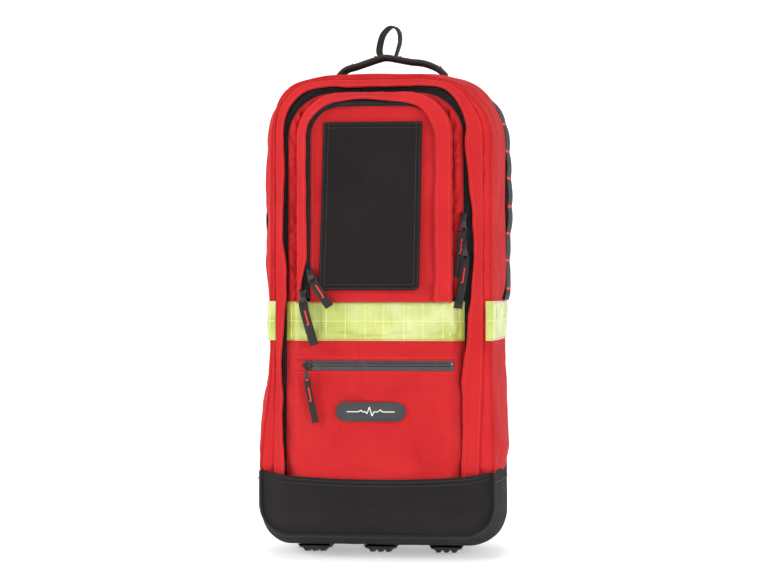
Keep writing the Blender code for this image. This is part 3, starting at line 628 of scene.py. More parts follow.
# ---------------------------------------------------------------- thread
class Thread:
    """Stitches of one colour on one body, gathered into a single piece."""

    def __init__(self, name, body, material):
        self.name, self.body, self.material = name, body, material
        self.verts, self.faces = [], []

    def stitch(self, start, end, up, radius=0.42 * MM):
        """One stitch: a short spindle that dips into the cloth at both ends."""
        start, end, up = Vector(start), Vector(end), Vector(up).normalized()
        along = (end - start).normalized()
        side = along.cross(up)
        base = len(self.verts)
        for share, size, lift in ((0.0, 0.35, -0.2), (0.25, 1.0, 0.55), (0.75, 1.0, 0.55), (1.0, 0.35, -0.2)):
            centre = start.lerp(end, share) + up * lift * radius
            for k in range(5):
                angle = 2 * math.pi * k / 5
                self.verts.append(centre + (side * math.cos(angle) + up * math.sin(angle)) * radius * size)
        for ring in range(3):
            for k in range(5):
                a, b = base + ring * 5 + k, base + ring * 5 + (k + 1) % 5
                self.faces.append((a, b, b + 5, a + 5))
        self.faces.append(tuple(base + k for k in range(5)))
        self.faces.append(tuple(base + 15 + k for k in reversed(range(5))))

    def row(self, points, up, pitch=3.6 * MM, length=2.7 * MM, radius=0.42 * MM):
        """A row of stitches along points. up is the cloth's outward direction, or one for each point."""
        line = Line(points)
        ups = [up] * len(points) if not isinstance(up, list) else up
        ups = np.array([tuple(u) for u in ups], float)
        count = int(line.length / pitch)
        for i in range(count):
            begin, end = (i + 0.1) / count, (i + 0.1) / count + length / line.length
            middle = (begin + end) / 2 * line.length
            out = [float(np.interp(middle, line.along, column)) for column in ups.T]
            self.stitch(line.at(begin), line.at(min(end, 1)), out, radius)

    def tack(self, centre, along, across, width, length=2.2 * MM, radius=0.42 * MM):
        """A bartack: a dense short zigzag across webbing."""
        centre, along, across = Vector(centre), Vector(along).normalized(), Vector(across).normalized()
        up = along.cross(across).normalized()
        count = max(6, int(width / (0.75 * MM)))
        for i in range(count):
            place = centre + across * (width * ((i + 0.5) / count - 0.5))
            self.stitch(place - along * length / 2, place + along * length / 2, up, radius)

    def finish(self):
        mesh = bpy.data.meshes.new(self.name)
        mesh.from_pydata([tuple(v) for v in self.verts], [], self.faces)
        return show(self.name, mesh, self.material, self.body)


THREADS = {}


def thread(colour, body):
    """The thread of a colour on a body."""
    if (colour, body) not in THREADS:
        material = RED_THREAD if colour == "red" else BLACK_THREAD
        THREADS[colour, body] = Thread(f"{colour}_stitching_{body}", body, material)
    return THREADS[colour, body]


def sew(colour, body, points, proud=0.0, **settings):
    """A row of stitches on the front of a piece, standing proud of the points."""
    thread(colour, body).row([(x, y - proud, z) for x, y, z in points], FRONT, **settings)


# ---------------------------------------------------------------- camera, light and floor
def build_studio():
    scene = bpy.context.scene
    scene.view_settings.view_transform = "Standard"
    angle, distance, height = math.radians(6.0), 2.4, 0.343
    camera = bpy.data.objects.new("camera", bpy.data.cameras.new("camera"))
    camera.location = (distance * math.sin(angle), -distance * math.cos(angle), height)
    camera.rotation_euler = (math.radians(90), 0, angle)
    camera.data.lens = 85.7
    scene.collection.objects.link(camera)
    scene.camera = camera

    lights = (
        ("key", (-2.1, -1.5, 1.5), 0.7, 29.0),
        ("fill", (1.7, -2.0, 1.0), 0.7, 17.0),
        ("top", (0.1, -0.2, 2.4), 0.8, 16.0),
        ("back", (-0.4, 2.6, 1.5), 1.6, 22.0),
    )
    for name, place, size, power in lights:
        data = bpy.data.lights.new(name, "AREA")
        data.size = size
        data.energy = power
        lamp = bpy.data.objects.new(name, data)
        lamp.location = place
        lamp.rotation_euler = (Vector((0, 0, 0.32)) - Vector(place)).to_track_quat("-Z", "Y").to_euler()
        scene.collection.objects.link(lamp)

    world = bpy.data.worlds.new("studio")
    world.use_nodes = True
    sky = world.node_tree.nodes["Background"].inputs
    sky[0].default_value = (1.0, 1.0, 1.0, 1)
    sky[1].default_value = 0.40
    scene.world = world

    # A round floor that curves up into its own backdrop, so that no horizon shows from any side.
    bowl = ((0.001, 0), (1.0, 0), (2.2, 0), (3.2, 0), (3.8, 0.08), (4.3, 0.35), (4.65, 0.8), (4.8, 1.4), (4.85, 2.6))
    turn = [2 * math.pi * k / 64 for k in range(64)]
    rows = [[(r * math.cos(a), r * math.sin(a), z) for a in turn] for r, z in bowl]
    floor = sheet_mesh("studio_floor", rows, closed=True)
    shade = Shade("pale_floor", 0.8, specular=0.1)
    shade.set("Base Color", (0.93, 0.93, 0.93))
    shade.set("Emission Color", (1.0, 1.0, 1.0))
    shade.set("Emission Strength", 0.42)
    floor.materials.append(shade.material)
    floor.shade_smooth()
    obj = bpy.data.objects.new("studio_floor", floor)
    scene.collection.objects.link(obj)


# ---------------------------------------------------------------- the body's outline
STATIONS = (
    (BORDER, 0.139, 0.149, 0.031, 0.618, 0.090),
    (-0.060, 0.149, 0.155, 0.014, 0.624, 0.094),
    (0.000, 0.157, 0.160, 0.010, 0.629, 0.096),
    (0.045, 0.157, 0.160, 0.010, 0.629, 0.096),
    (BACK_SEAM, 0.150, 0.152, 0.020, 0.621, 0.080),
)


def station(y):
    """The body's half-widths, bottom, top and corner radius at a depth, on a smooth curve through its stations."""
    depths = [s[0] for s in STATIONS]
    y = min(max(y, depths[0]), depths[-1])
    return [float(np.interp(y, depths, [s[k] for s in STATIONS])) for k in range(1, 6)]


DEPTHS = (-0.0945, -0.060, -0.030, 0.0, 0.020, 0.045, 0.060, 0.076)
LEFT_LEAN = (6.5, 6.5, 8.0, 9.0, 10.0, 10.0, 6.0, 0.0)
RIGHT_LEAN = (6.5, 2.0, -1.0, -3.0, -2.5, 1.5, 4.5, 0.0)


def slumped(x, z, y=BORDER):
    """Where a point of the soft body really lies: its upper part leans to +X, its right side bellies, its top sags."""
    near = 1 - smooth((y - BORDER) / 0.07)
    left = smooth((-x - 0.118) / 0.02) * float(np.interp(y, DEPTHS, LEFT_LEAN))
    right = smooth((x - 0.118) / 0.02) * float(np.interp(y, DEPTHS, RIGHT_LEAN))
    rise = smooth((z - 0.10) / 0.16)
    lean = (left * (0.4 + 0.6 * rise) + right * rise) * MM
    sag = (6 * MM + 2 * MM * near) * smooth((z - 0.595) / 0.024)
    return x + lean, z - sag


def slumped_line(line):
    """A line on the body's front, moved to where it really lies."""
    return Line([slumped(x, z) for x, z in line.points])


def body_arch(y, inset, foot):
    """The body's outline over its top at a depth, set in by inset."""
    upper, lower, _, top, radius = station(y)

    def side(z):
        return lower + (upper - lower) * smooth((z - 0.108) / 0.152) - inset

    line = arch(upper - inset, foot, top - inset, radius - inset, side)
    return Line([slumped(x, z, y) for x, z in line.points])


def arches(near, far, count, inset, foot):
    """The body's outlines at even depths."""
    return [body_arch(mix(near, far, share), inset, foot) for share in shares(count - 1)]


SHELL_ROWS, SHELL_COLUMNS = 31, 211


def build_shell():
    """The red sides and top: one arched sheet, sewn along both edges, the boot and the reflective band."""
    near, far = BORDER + 1.0 * MM, BACK_SEAM
    lines = arches(near, far, SHELL_ROWS, 2.0 * MM, BOOT_TOP - 3 * MM)

    def place(down, across):
        row = round(down * (SHELL_ROWS - 1))
        x, z = lines[row].at(across)
        nx, nz = lines[row].outward(across)
        y = mix(near, far, down)
        free = math.sin(math.pi * down) ** 0.5 * smooth((z - BOOT_TOP - 4 * MM) / 0.03)
        fold = 3.4 * MM * ridge(y / 0.026, z / 0.17, x / 0.3, 3)
        fold += 1.4 * MM * wave(y / 0.02, z / 0.05, x / 0.05, 5)
        fold += 2.2 * MM * ridge((y + 0.4 * z) / 0.05, (z - y) / 0.12, x / 0.2, 6) - 1.5 * MM
        return x + nx * fold * free, y, z + nz * fold * free

    shell = sheet("shell_fabric", grid(SHELL_ROWS, SHELL_COLUMNS, place), RED, "pack")

    def pinned(point):
        on_band = min(abs(point.z - BAND_LOW), abs(point.z - BAND_HIGH)) < 3.2 * MM
        return point.y < near + 1 * MM or point.y > far - 1 * MM or point.z < BOOT_TOP + 2 * MM or on_band

    settle(shell, pinned, frames=22, pressure=1.6, slack=0.016, gravity=0.05, bending=0.3, reach=5 * MM)
    rounding(shell)
    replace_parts(shell, "gusset_shell")
    return shell


def build_lining():
    """The grey lining inside the sides and top, and round the opening's edge."""
    near, far = BORDER + 4.5 * MM, BACK_SEAM - 1 * MM
    inset, foot, rows, columns = 6.0 * MM, BOOT_TOP - 6 * MM, 12, 121
    lines = arches(near, far, rows, inset, foot)

    def place(down, across):
        x, z = lines[round(down * (rows - 1))].at(across)
        return x * (1 + 0.004 * wave(z / 0.06, down * 3, 0, 2)), mix(near, far, down), z

    sheet("body_lining", flipped(grid(rows, columns, place)), LINING, "pack", 0.8 * MM, rounds=1)
    inner = arch(ZIP_HALF + 1.0 * MM, foot, ZIP_TOP + 1.0 * MM, ZIP_RADIUS + 1 * MM)
    outer = body_arch(near, inset, foot)

    def border(down, across):
        a, b = inner.at(across), outer.at(across)
        return mix(a[0], b[0], down), near - 0.2 * MM, mix(a[1], b[1], down)

    sheet("border_lining", grid(4, columns, border), LINING, "pack", 0.8 * MM)


def build_border():
    """The red strip between the body's front edge and the main storm flap, with piping along the edge."""
    foot = BOOT_TOP - 2 * MM
    edge = body_arch(BORDER, 0.0, foot)
    seam = slumped_line(arch(SEAM_HALF - 4 * MM, foot, SEAM_TOP - 4 * MM, SEAM_RADIUS - 4 * MM))

    def tuck(z):
        """How far the strip turns in to pass under the boot's edge."""
        return 4.0 * MM * (1 - smooth((z - BOOT_TOP - 3 * MM) / 0.012))

    def place(down, across):
        a, b = edge.at(across), seam.at(across)
        pucker = 2.0 * MM * ridge(across * 46, down * 0.9, 0, 4) * math.sin(math.pi * down) ** 0.6
        fold = 1.8 * MM * wave(across * 17, down * 1.5, 0, 14)
        y = BORDER - 0.4 * MM - 1.2 * MM * smooth(down / 0.3) - pucker + fold * math.sin(math.pi * down)
        return mix(a[0], b[0], down), y + tuck(a[1]), mix(a[1], b[1], down)

    sheet("front_border", flipped(grid(8, 321, place)), RED, "pack", 0.8 * MM, rounds=1)
    points = []
    for i, share in enumerate(shares(240)):
        (x, z), (nx, nz) = edge.at(share), edge.outward(share)
        y = BORDER - 0.6 * MM + 0.3 * MM * wave(i / 9) + tuck(z)
        points.append((x + nx * 0.2 * MM, y, z + nz * 0.2 * MM))
    tube("edge_piping", points, 1.7 * MM, RED_PIPING, "pack")


def flap_strip(name, seam, reach, depth, lift, body, count, seed):
    """A storm flap: a folded strip sewn along its outer edge, whose wavy free edge stands off the zip.

    reach gives its width at a share along the seam and a height.
    """
    thick = 1.9 * MM

    def place(down, across):
        x, z = seam.at(across)
        nx, nz = seam.outward(across)
        far = across * seam.length
        slow, quick = wave(far / 0.075, 0, 0, seed), wave(far / 0.026, 0, 0, seed + 1)
        inward = (reach(across, z) + (3.6 * slow + 1.8 * quick) * MM) * down
        stand = lift * (1 + 0.9 * wave(far / 0.09, 0, 0, seed + 4))
        y = depth - 1.2 * MM - stand * down ** 1.3 - 2.4 * MM * quick * down
        y -= 0.5 * MM * ridge(far / 0.019, down * 0.6, 0, seed + 2) * math.sin(math.pi * down)
        return x - nx * inward, y - thick, z - nz * inward

    flap = sheet(name, grid(9, count, place)[::-1], RED, body, thick)
    flap.data.set_sharp_from_angle(angle=math.radians(42))
    for down in (0.10, 0.84):
        sew("red", body, [place(down, share) for share in shares(400)], 0.12 * MM, radius=0.36 * MM)
    return flap


def zip_half(name, path, side, y, reach, body, phase):
    """One half of a zip: its woven tape, and its row of interlocking coil turns along the meeting edge."""

    def tape(down, across):
        x, z = path.at(across)
        nx, nz = path.outward(across)
        out = side * mix(1.2 * MM, reach, down)
        return x + nx * out, y - 0.5 * MM * (1 - down) - 0.2 * MM * wave(across * 60, 0, 0, 3), z + nz * out

    rows = grid(4, int(path.length / (4 * MM)), tape)
    half = sheet(name, rows if side > 0 else flipped(rows), TAPE, body, 0.6 * MM)
    verts, faces = [], []
    turns = int(path.length / (1.5 * MM))
    section = ((-0.3, 0.0), (-0.15, 1.0), (1.0, 1.35), (2.2, 1.15), (2.7, 0.1))
    for i in range(turns):
        share = (i + 0.5 + 0.5 * phase) / (turns + 1)
        (x, z), (nx, nz), (tx, tz) = path.at(share), path.outward(share), path.direction(share)
        base = len(verts)
        for out, up in section:
            for along in (-0.42, 0.42):
                skew, across = along + 0.12 * out, side * out
                shift_x, shift_z = nx * across + tx * skew, nz * across + tz * skew
                verts.append((x + shift_x * MM, y - (0.5 + up) * MM, z + shift_z * MM))
        for k in range(len(section) - 1):
            a = base + 2 * k
            faces.append((a, a + 1, a + 3, a + 2))
        faces.append(tuple(base + 2 * k for k in range(len(section))))
        faces.append(tuple(base + 2 * k + 1 for k in reversed(range(len(section)))))
    mesh = bpy.data.meshes.new(f"{name}_coil")
    mesh.from_pydata(verts, [], faces)
    show(f"{name}_coil", mesh, TEETH, body)
    return half


def zip_pair(prefix, path, y, outer, inner):
    """Both halves of a zip. outer and inner each give a tape's width and its body."""
    for phase, (side, label, (reach, body)) in enumerate(((1, "outer", outer), (-1, "inner", inner))):
        half = zip_half(f"{prefix}_tape_{label}", path, side, y, reach, body, phase)
        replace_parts(half, f"{prefix}_zip_{label}_tape")


LEFT_FLAP = ((0.100, 0.0125), (0.203, 0.0090), (0.247, 0.0060), (0.278, 0.0095), (0.303, 0.0110), (0.330, 0.0150),
             (0.354, 0.0140), (0.403, 0.0100), (0.478, 0.0092), (0.540, 0.0085), (0.590, 0.0120))
RIGHT_FLAP = ((0.100, 0.0225), (0.150, 0.0232), (0.224, 0.0252), (0.263, 0.0215), (0.322, 0.0140), (0.383, 0.0090),
              (0.442, 0.0150), (0.512, 0.0195), (0.560, 0.0190), (0.600, 0.0120))


def profile(table, z):
    """A width from a table of heights and widths."""
    return float(np.interp(z, [row[0] for row in table], [row[1] for row in table]))


def build_main_zip():
    """Both halves of the main zip and the storm flap over it."""
    path = arch(ZIP_HALF + 0.3 * MM, BOOT_TOP + 3 * MM, ZIP_TOP + 0.3 * MM, ZIP_RADIUS)
    zip_pair("main", path, BORDER - 1.0 * MM, (13 * MM, "pack"), (9 * MM, "front_lid"))
    inset = 0.5 * MM
    seam = slumped_line(arch(SEAM_HALF - inset, BOOT_TOP - 2 * MM, SEAM_TOP - inset, SEAM_RADIUS - inset))

    def reach(across, z):
        left, right = 1 - smooth((across - 0.38) / 0.07), smooth((across - 0.56) / 0.07)
        top = 1 - left - right
        return left * profile(LEFT_FLAP, z) + right * profile(RIGHT_FLAP, z) + top * 8.0 * MM

    flap = flap_strip("main_flap_fabric", seam, reach, BORDER - 1.6 * MM, 6.0 * MM, "pack", 521, 1)
    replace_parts(flap, "main_storm_flap")


# ---------------------------------------------------------------- the lid
def build_lid_skin():
    """The lid's puckered strip round the pocket, the pocket's wall, and the lid's lining."""
    foot = BAND_HIGH - 2 * MM
    inner = arch(WALL_HALF - 0.5 * MM, foot, WALL_TOP - 0.5 * MM, WALL_RADIUS - 0.5 * MM)
    outer = arch(ZIP_HALF - 4.5 * MM, foot, ZIP_TOP - 7.5 * MM, ZIP_RADIUS - 6 * MM)

    def strip(down, across):
        a, b = inner.at(across), outer.at(across)
        swell = math.sin(math.pi * down) ** 0.7
        gather = 0.45 + 0.55 * smooth(wave(across * 5, 0, 0, 17) + 0.6)
        pucker = 5.4 * MM * ridge(across * 48, down * 0.7, 0, 7) * gather
        pucker += 2.2 * MM * wave(across * 23, down, 0, 8)
        y = BORDER - 2.0 * MM - (3.0 * MM + pucker) * swell
        return mix(a[0], b[0], down), y, mix(a[1], b[1], down)

    piece = sheet("lid_fabric", grid(9, 451, strip), RED, "front_lid", 0.8 * MM, rounds=1)
    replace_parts(piece, "lid_panel")
    path = arch(WALL_HALF, foot, WALL_TOP, WALL_RADIUS)

    def wall(down, across):
        x, z = path.at(across)
        nx, nz = path.outward(across)
        swell = math.sin(math.pi * down)
        out = (0.8 + 1.1 * ridge(across * 50, down * 0.8, 0, 9)) * swell * MM - 0.6 * MM
        return x + nx * out, mix(BORDER - 1.5 * MM, POCKET_FACE - 0.8 * MM, down), z + nz * out

    piece = sheet("pocket_wall", grid(9, 361, wall), RED, "front_lid", 0.8 * MM, rounds=1)
    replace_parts(piece, "pocket_gusset")
    half, bottom, top = ZIP_HALF - 1.0 * MM, BOOT_TOP + 4 * MM, ZIP_TOP - 1.0 * MM

    def lining(down, across):
        z = mix(bottom, top, down)
        x = (2 * across - 1) * (half - drawn_in(z - top + ZIP_RADIUS, ZIP_RADIUS))
        return x, BORDER + 3.6 * MM + 0.5 * MM * wave(x / 0.05, z / 0.05, 0, 4), z

    piece = sheet("lid_lining", grid(61, 31, lining), LINING, "front_lid", 1.0 * MM, rounds=1)
    piece.data.flip_normals()


def build_pocket_front():
    """The pocket's storm flap and zip, and its hinged panel."""
    seam = arch(WALL_HALF - 0.2 * MM, BAND_HIGH - 0.5 * MM, WALL_TOP - 0.2 * MM, WALL_RADIUS - 0.2 * MM)

    def reach(across, z):
        right = smooth((across - 0.46) / 0.2)
        folded_back = 1 - 0.8 * smooth((0.385 - z) / 0.04) * (1 - right)
        over = math.exp(-(((across - 0.5) / 0.09) ** 2))
        return (10.6 * MM + 7.6 * MM * right - 3.6 * MM * over) * folded_back

    flap = flap_strip("pocket_flap_fabric", seam, reach, POCKET_FACE + 0.6 * MM, 6.0 * MM, "front_lid", 401, 5)
    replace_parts(flap, "pocket_storm_flap")
    path = arch(PANEL_HALF + 0.6 * MM, PANEL_LOW, PANEL_TOP + 0.6 * MM, POCKET_RADIUS)
    zip_pair("pocket", path, POCKET_FACE - 0.3 * MM, (9 * MM, "front_lid"), (7.5 * MM, "pocket_front"))

    inset = 3.4 * MM
    half, radius = PANEL_HALF - inset, POCKET_RADIUS - inset
    bottom, top = PANEL_LOW - 4.5 * MM, PANEL_TOP - inset

    def panel(down, across):
        z = mix(bottom, top, down)
        wide = half - drawn_in(z - top + radius, radius)
        u = 2 * across - 1
        edge = min(1 - abs(u), (top - z) / wide) * wide
        pucker = 0.7 * MM * ridge(z / 0.020, u * 2.5, 0, 6)
        pucker *= smooth(edge / 0.004) * (1 - smooth((edge - 0.012) / 0.02))
        return u * wide, POCKET_FACE - 0.7 * MM - 1.5 * MM * smooth(edge / 0.05) - pucker, z

    def lining(down, across):
        x, _, z = panel(down, across)
        return x * 0.985, POCKET_FACE + 1.4 * MM, z

    piece = sheet("pocket_front_fabric", grid(91, 61, panel), RED, "pocket_front", 1.0 * MM, rounds=1)
    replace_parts(piece, "pocket_panel")
    sheet("pocket_front_lining", flipped(grid(31, 21, lining)), LINING, "pocket_front", 0.6 * MM)
    for across in (0.02, 0.98):
        hem = [panel(down, across) for down in shares(200, 0.02, 0.975)]
        sew("red", "pocket_front", hem, 0.2 * MM, radius=0.34 * MM)


def build_window():
    """The clear window under the document flap, bound in black on three sides and open at its top."""
    corner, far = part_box("document_window")
    y = corner.y - 1.2 * MM
    left, right, bottom, top = corner.x + 1 * MM, far.x - 8 * MM, corner.z + 4 * MM, far.z

    def film(down, across):
        x, z = mix(left, right, across), mix(bottom, top, down)
        return x, y - 0.3 * MM * wave(x / 0.03, z / 0.03, 0, 2), z

    window = sheet("window_film", grid(41, 25, film), FILM, "pocket_front", 0.3 * MM)
    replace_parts(window, "document_window")
    loop = [(left, top), (left, bottom), (right, bottom), (right, top)]
    for i, ((x0, z0), (x1, z1)) in enumerate(zip(loop, loop[1:])):
        centres = [(mix(x0, x1, share), y - 0.4 * MM, mix(z0, z1, share)) for share in shares(30)]
        across = ACROSS if x0 == x1 else UP
        strap(f"window_binding_{i + 1}", centres, across, 8 * MM, BINDING, "pocket_front", 0.9 * MM, "webbing")


def build_document_flap():
    """The black flap over the window: sewn at its top, hemmed on its other edges, and lifting slightly at its foot."""
    half, bottom, top = FLAP_HIGH.x, FLAP_LOW.z, FLAP_HIGH.z
    wide, tall, radius, hem_width = 2 * half, top - bottom, 6 * MM, 6.6 * MM

    def place(down, across):
        z = mix(bottom, top, down)
        reach = half - drawn_in(bottom + radius - z, radius)
        x = (2 * across - 1) * reach
        edge = min(reach - abs(x), z - bottom)
        hem = 0.45 * MM * (1 - smooth((edge - 7.5 * MM) / (1.2 * MM)))
        groove = 0.30 * MM * math.exp(-(((edge - hem_width) / (0.9 * MM)) ** 2))
        groove += 0.25 * MM * math.exp(-(((edge - 1.8 * MM) / (0.8 * MM)) ** 2))
        lift = 2.6 * MM * smooth((0.40 - z) / 0.07)
        lift += 1.4 * MM * smooth((abs(x) - 0.03) / 0.03) * smooth((0.47 - z) / 0.1)
        sway = 0.7 * MM * wave(x / 0.055, z / 0.09, 0, 3) + 0.25 * MM * wave(x / 0.012, z / 0.04, 0, 5)
        y = FLAP_LOW.y - 0.3 * MM - lift - hem + groove - sway * smooth((top - z) / 0.03)
        fall = (top - z) / tall
        return x * (1 + 0.018 * fall) - (1.0 + 4.6 * fall) * MM, y, z

    flap = sheet("document_flap_cloth", grid(125, 75, place), FLAP_BLACK, "document_cover", 1.5 * MM)
    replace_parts(flap, "document_flap")
    lines = []
    for scale in (1.0, 0.27):
        u, v = hem_width / wide * scale, hem_width / tall * scale
        loop = [(mix(1, v, share), u) for share in shares(100)]
        loop += [(v, mix(u, 1 - u, share)) for share in shares(60)[1:]]
        loop += [(mix(v, 1, share), 1 - u) for share in shares(100)[1:]]
        lines.append([place(*spot) for spot in loop])
    for below in (2.2 * MM, 7.0 * MM):
        lines.append([place(1 - below / tall, share) for share in shares(60, 0.02, 0.98)])
    for line in lines:
        sew("black", "document_cover", line, 0.1 * MM, radius=0.36 * MM)


LOWER_HALF = 0.1125
ZIP_LOW, ZIP_HIGH = low("lower_zip_tape").z, high("lower_zip_tape").z
FRAME_LOW, FRAME_HIGH = ZIP_LOW - 1.0 * MM, ZIP_HIGH + 3.2 * MM
BADGE_LOW, BADGE_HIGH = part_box("badge")


def lower_depth(x):
    """The lower front panel's depth before it settles: flat in the middle, falling away to the zip at its sides."""
    return mix(BORDER - 2.2 * MM, LOWER_FRONT + 1.2 * MM, smooth((LOWER_HALF - abs(x)) / 0.017))


def build_lower_panel():
    """The padded lower front: sewn down along the band, the lower zip's frame, the badge and its own edges."""
    foot = BOOT_TOP - 7.0 * MM

    def place(down, across):
        x, z = LOWER_HALF * (2 * across - 1), mix(foot, BAND_HIGH, down)
        rising, falling = (x + 0.75 * z) / 0.062, (z - 0.75 * x) / 0.22
        fold = 0.8 * MM * wave(x / 0.05, z / 0.04, 0, 6) + 2.6 * MM * ridge(rising, falling, 0, 7)
        fold += 1.6 * MM * ridge((x - 0.6 * z) / 0.07, (z + 0.6 * x) / 0.2, 0, 9)
        free = smooth((z - BOOT_TOP) / 0.03) * smooth((FRAME_LOW - z) / 0.03)
        return x, lower_depth(x) - fold * free, z

    panel = sheet("lower_front_fabric", grid(62, 61, place), RED, "front_lid")

    def pinned(point):
        x, z = abs(point.x), point.z
        edge = x > LOWER_HALF - 1 * MM or z < BOOT_TOP + 1 * MM or z > BAND_HIGH - 2 * MM
        seam = min(abs(z - height) for height in (FRAME_LOW, FRAME_HIGH, BAND_LOW + 1 * MM))
        inside = FRAME_LOW < z < FRAME_HIGH and x < 0.1
        badge = x < BADGE_HIGH.x and BADGE_LOW.z < z < BADGE_HIGH.z
        return edge or inside or badge or (seam < 1.9 * MM and x < 0.106)

    settle(panel, pinned, frames=24, pressure=1.2, slack=0.03, gravity=1.0, bending=0.25, reach=5 * MM)
    rounding(panel)
    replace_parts(panel, "lower_front_panel")
    return panel


CELL = 24.5 * MM


def quilted(name, place, columns, rows, body):
    """A reflective band: glossy vinyl cells between welded grid lines, over a folded stitched edge."""
    flat = [[Vector(place(i / rows, j / columns)) for j in range(columns + 1)] for i in range(rows + 1)]
    along = Line(flat[rows // 2]).along
    cells = (along - along[-1] / 2) / CELL
    height = BAND_HIGH - BAND_LOW
    points = []
    for i in range(rows + 1):
        row, rise = [], i / rows * height
        for j in range(columns + 1):
            before, after = flat[i][max(j - 1, 0)], flat[i][min(j + 1, columns)]
            out = (after - before).cross(UP).normalized()
            weld = min((0.5 - abs(cells[j] % 1.0 - 0.5)) * CELL, abs(rise - height / 2))
            edge = min(rise, height - rise)
            lift = 0.55 * MM * smooth(weld / (1.6 * MM)) * smooth((edge - 2.6 * MM) / (1.2 * MM))
            lift += 0.7 * MM * wave(along[j] / 0.021, rise / 0.024, 0, 4) * smooth((edge - 2 * MM) / (4 * MM))
            lift += 0.35 * MM * (1 - smooth((edge - 2.2 * MM) / (0.6 * MM)))
            row.append(tuple(flat[i][j] + out * lift))
        points.append(row)
    lines = np.floor(cells + 0.5)
    beads = [[row[j] for row in points[2:-2]] for j in range(2, columns - 1) if lines[j] != lines[j - 1]]
    beads.append(points[len(points) // 2][1:-1])
    welds = [tube(f"{name}_bead_{k}", bead, 0.42 * MM, WELD, body, sides=6) for k, bead in enumerate(beads)]
    join(f"{name}_welds", welds)
    return sheet(name, points, LIME, body, 0.7 * MM)


def build_front_band(panel):
    """The lid's length of reflective band, over the settled panel."""
    tree = surface_of(panel)

    def place(down, across):
        x, z = LOWER_HALF * (2 * across - 1), mix(BAND_LOW, BAND_HIGH - 0.5 * MM, down)
        hit = drop(tree, (x * 0.998, AHEAD, min(z, BAND_HIGH - 1.5 * MM)), BACKWARD, 1.1 * MM)
        return x, hit.y if hit else lower_depth(x), z

    band = quilted("front_band", place, 180, 42, "front_lid")
    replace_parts(band, "reflective_band_front")
    for down in (0.035, 0.965):
        line = [place(down, across) for across in shares(120, 0.01, 0.99)]
        sew("red", "front_lid", line, 0.75 * MM, pitch=3.2 * MM, radius=0.3 * MM)


def build_lower_zip(panel):
    """The water-resistant zip: two coated lips that meet in a slit, a garage over its left end, and its frame."""
    tree = surface_of(panel)
    left, right = low("lower_zip_tape").x + 4 * MM, high("lower_zip_tape").x + 5.5 * MM
    middle, tall = (ZIP_LOW + ZIP_HIGH) / 2, ZIP_HIGH - ZIP_LOW

    def surface(x, z, lift):
        hit = drop(tree, (x, AHEAD, z), BACKWARD, lift)
        return hit.y if hit else LOWER_FRONT - lift

    def tape(down, across):
        x, z = mix(left, right, across), mix(ZIP_LOW + 0.8 * MM, ZIP_HIGH - 0.8 * MM, down)
        off = abs(z - middle)
        lip = 0.9 * MM * smooth(off / (0.9 * MM)) * (1 - 0.6 * smooth((off - 1.6 * MM) / (2.4 * MM)))
        rib = 0.10 * MM * math.sin(x / (0.75 * MM) * math.pi) * math.exp(-((off / (2.6 * MM)) ** 2))
        return x, surface(x, z, 0.5 * MM) - lip - rib - 0.15 * MM * wave(x / 0.02, z / 0.01), z

    piece = sheet("lower_zip_coated_tape", grid(22, 420, tape), GLOSS, "front_lid", 0.7 * MM)
    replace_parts(piece, "lower_zip_tape")

    def garage(down, across):
        x, z = left - 15 * MM + 19 * MM * across, middle + (tall - 0.5 * MM) * (down - 0.5)
        dome = math.sqrt(max(0.0, 1 - (2 * down - 1) ** 2)) * smooth(across / 0.8) * 2.6 * MM
        return x, surface(max(x, -0.103), z, 1.0 * MM) - dome, z

    sheet("lower_zip_garage", grid(13, 15, garage), RED, "front_lid", 0.9 * MM, rounds=1)
    sides = left - 14 * MM, right + 7 * MM
    heights = FRAME_LOW - 0.6 * MM, FRAME_HIGH + 0.2 * MM
    frame_lines = [[(x, z) for x in np.linspace(*sides, 90)] for z in heights]
    frame_lines += [[(x, z) for z in np.linspace(FRAME_LOW, FRAME_HIGH, 12)] for x in sides]
    for line in frame_lines:
        sew("red", "front_lid", [(x, surface(x, z, 0.1 * MM), z) for x, z in line])


HEARTBEAT = ((-30, 0), (-15, 0), (-12.5, 2), (-10, 0), (-6.5, 0), (-4.5, -2.2), (-1.5, 6.0), (1.8, -5.2),
             (4.2, 0), (9, 0), (12, 2.6), (15, 0), (30, 0))


def build_badge(panel):
    """The rubber badge: a raised rim round a sunk field, with a generic pulse line on it."""
    tree = surface_of(panel)
    middle, half = middle_and_half("badge")
    spots = [(half.x * u, middle.z + half.z * v) for u in (-0.9, -0.4, 0, 0.4, 0.9) for v in (-0.8, 0, 0.8)]
    hits = [drop(tree, (x, AHEAD, z), BACKWARD) for x, z in spots]
    back = min(hit.y for hit in hits if hit) + 0.8 * MM
    left = -4 * MM
    rings = ((0.0, 0.3), (0.0, -1.9), (0.5, -2.4), (1.5, -2.4), (2.0, -2.1), (2.3, -1.5), (3.0, -1.4))
    rows = []
    for inset, out in rings:
        radius, straight = half.z - inset * MM, half.x - half.z
        loop = []
        for side in (1, -1):
            for turn in np.linspace(-math.pi / 2, math.pi / 2, 25):
                x, z = side * (straight + radius * math.cos(turn)), side * radius * math.sin(turn)
                loop.append((left + x, back + out * MM, middle.z + z))
        rows.append(loop[::-1])
    badge = sheet("badge_plate", rows, RUBBER, "front_lid", closed=True)
    cap_ends(badge)
    badge.data.set_sharp_from_angle(angle=math.radians(40))
    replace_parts(badge, "badge")
    line = Line([(left + x * MM, back - 1.75 * MM, middle.z + z * MM) for x, z in HEARTBEAT])
    tube("badge_pulse", [line.at(share) for share in shares(160)], 0.75 * MM, MARK, "front_lid", sides=6)


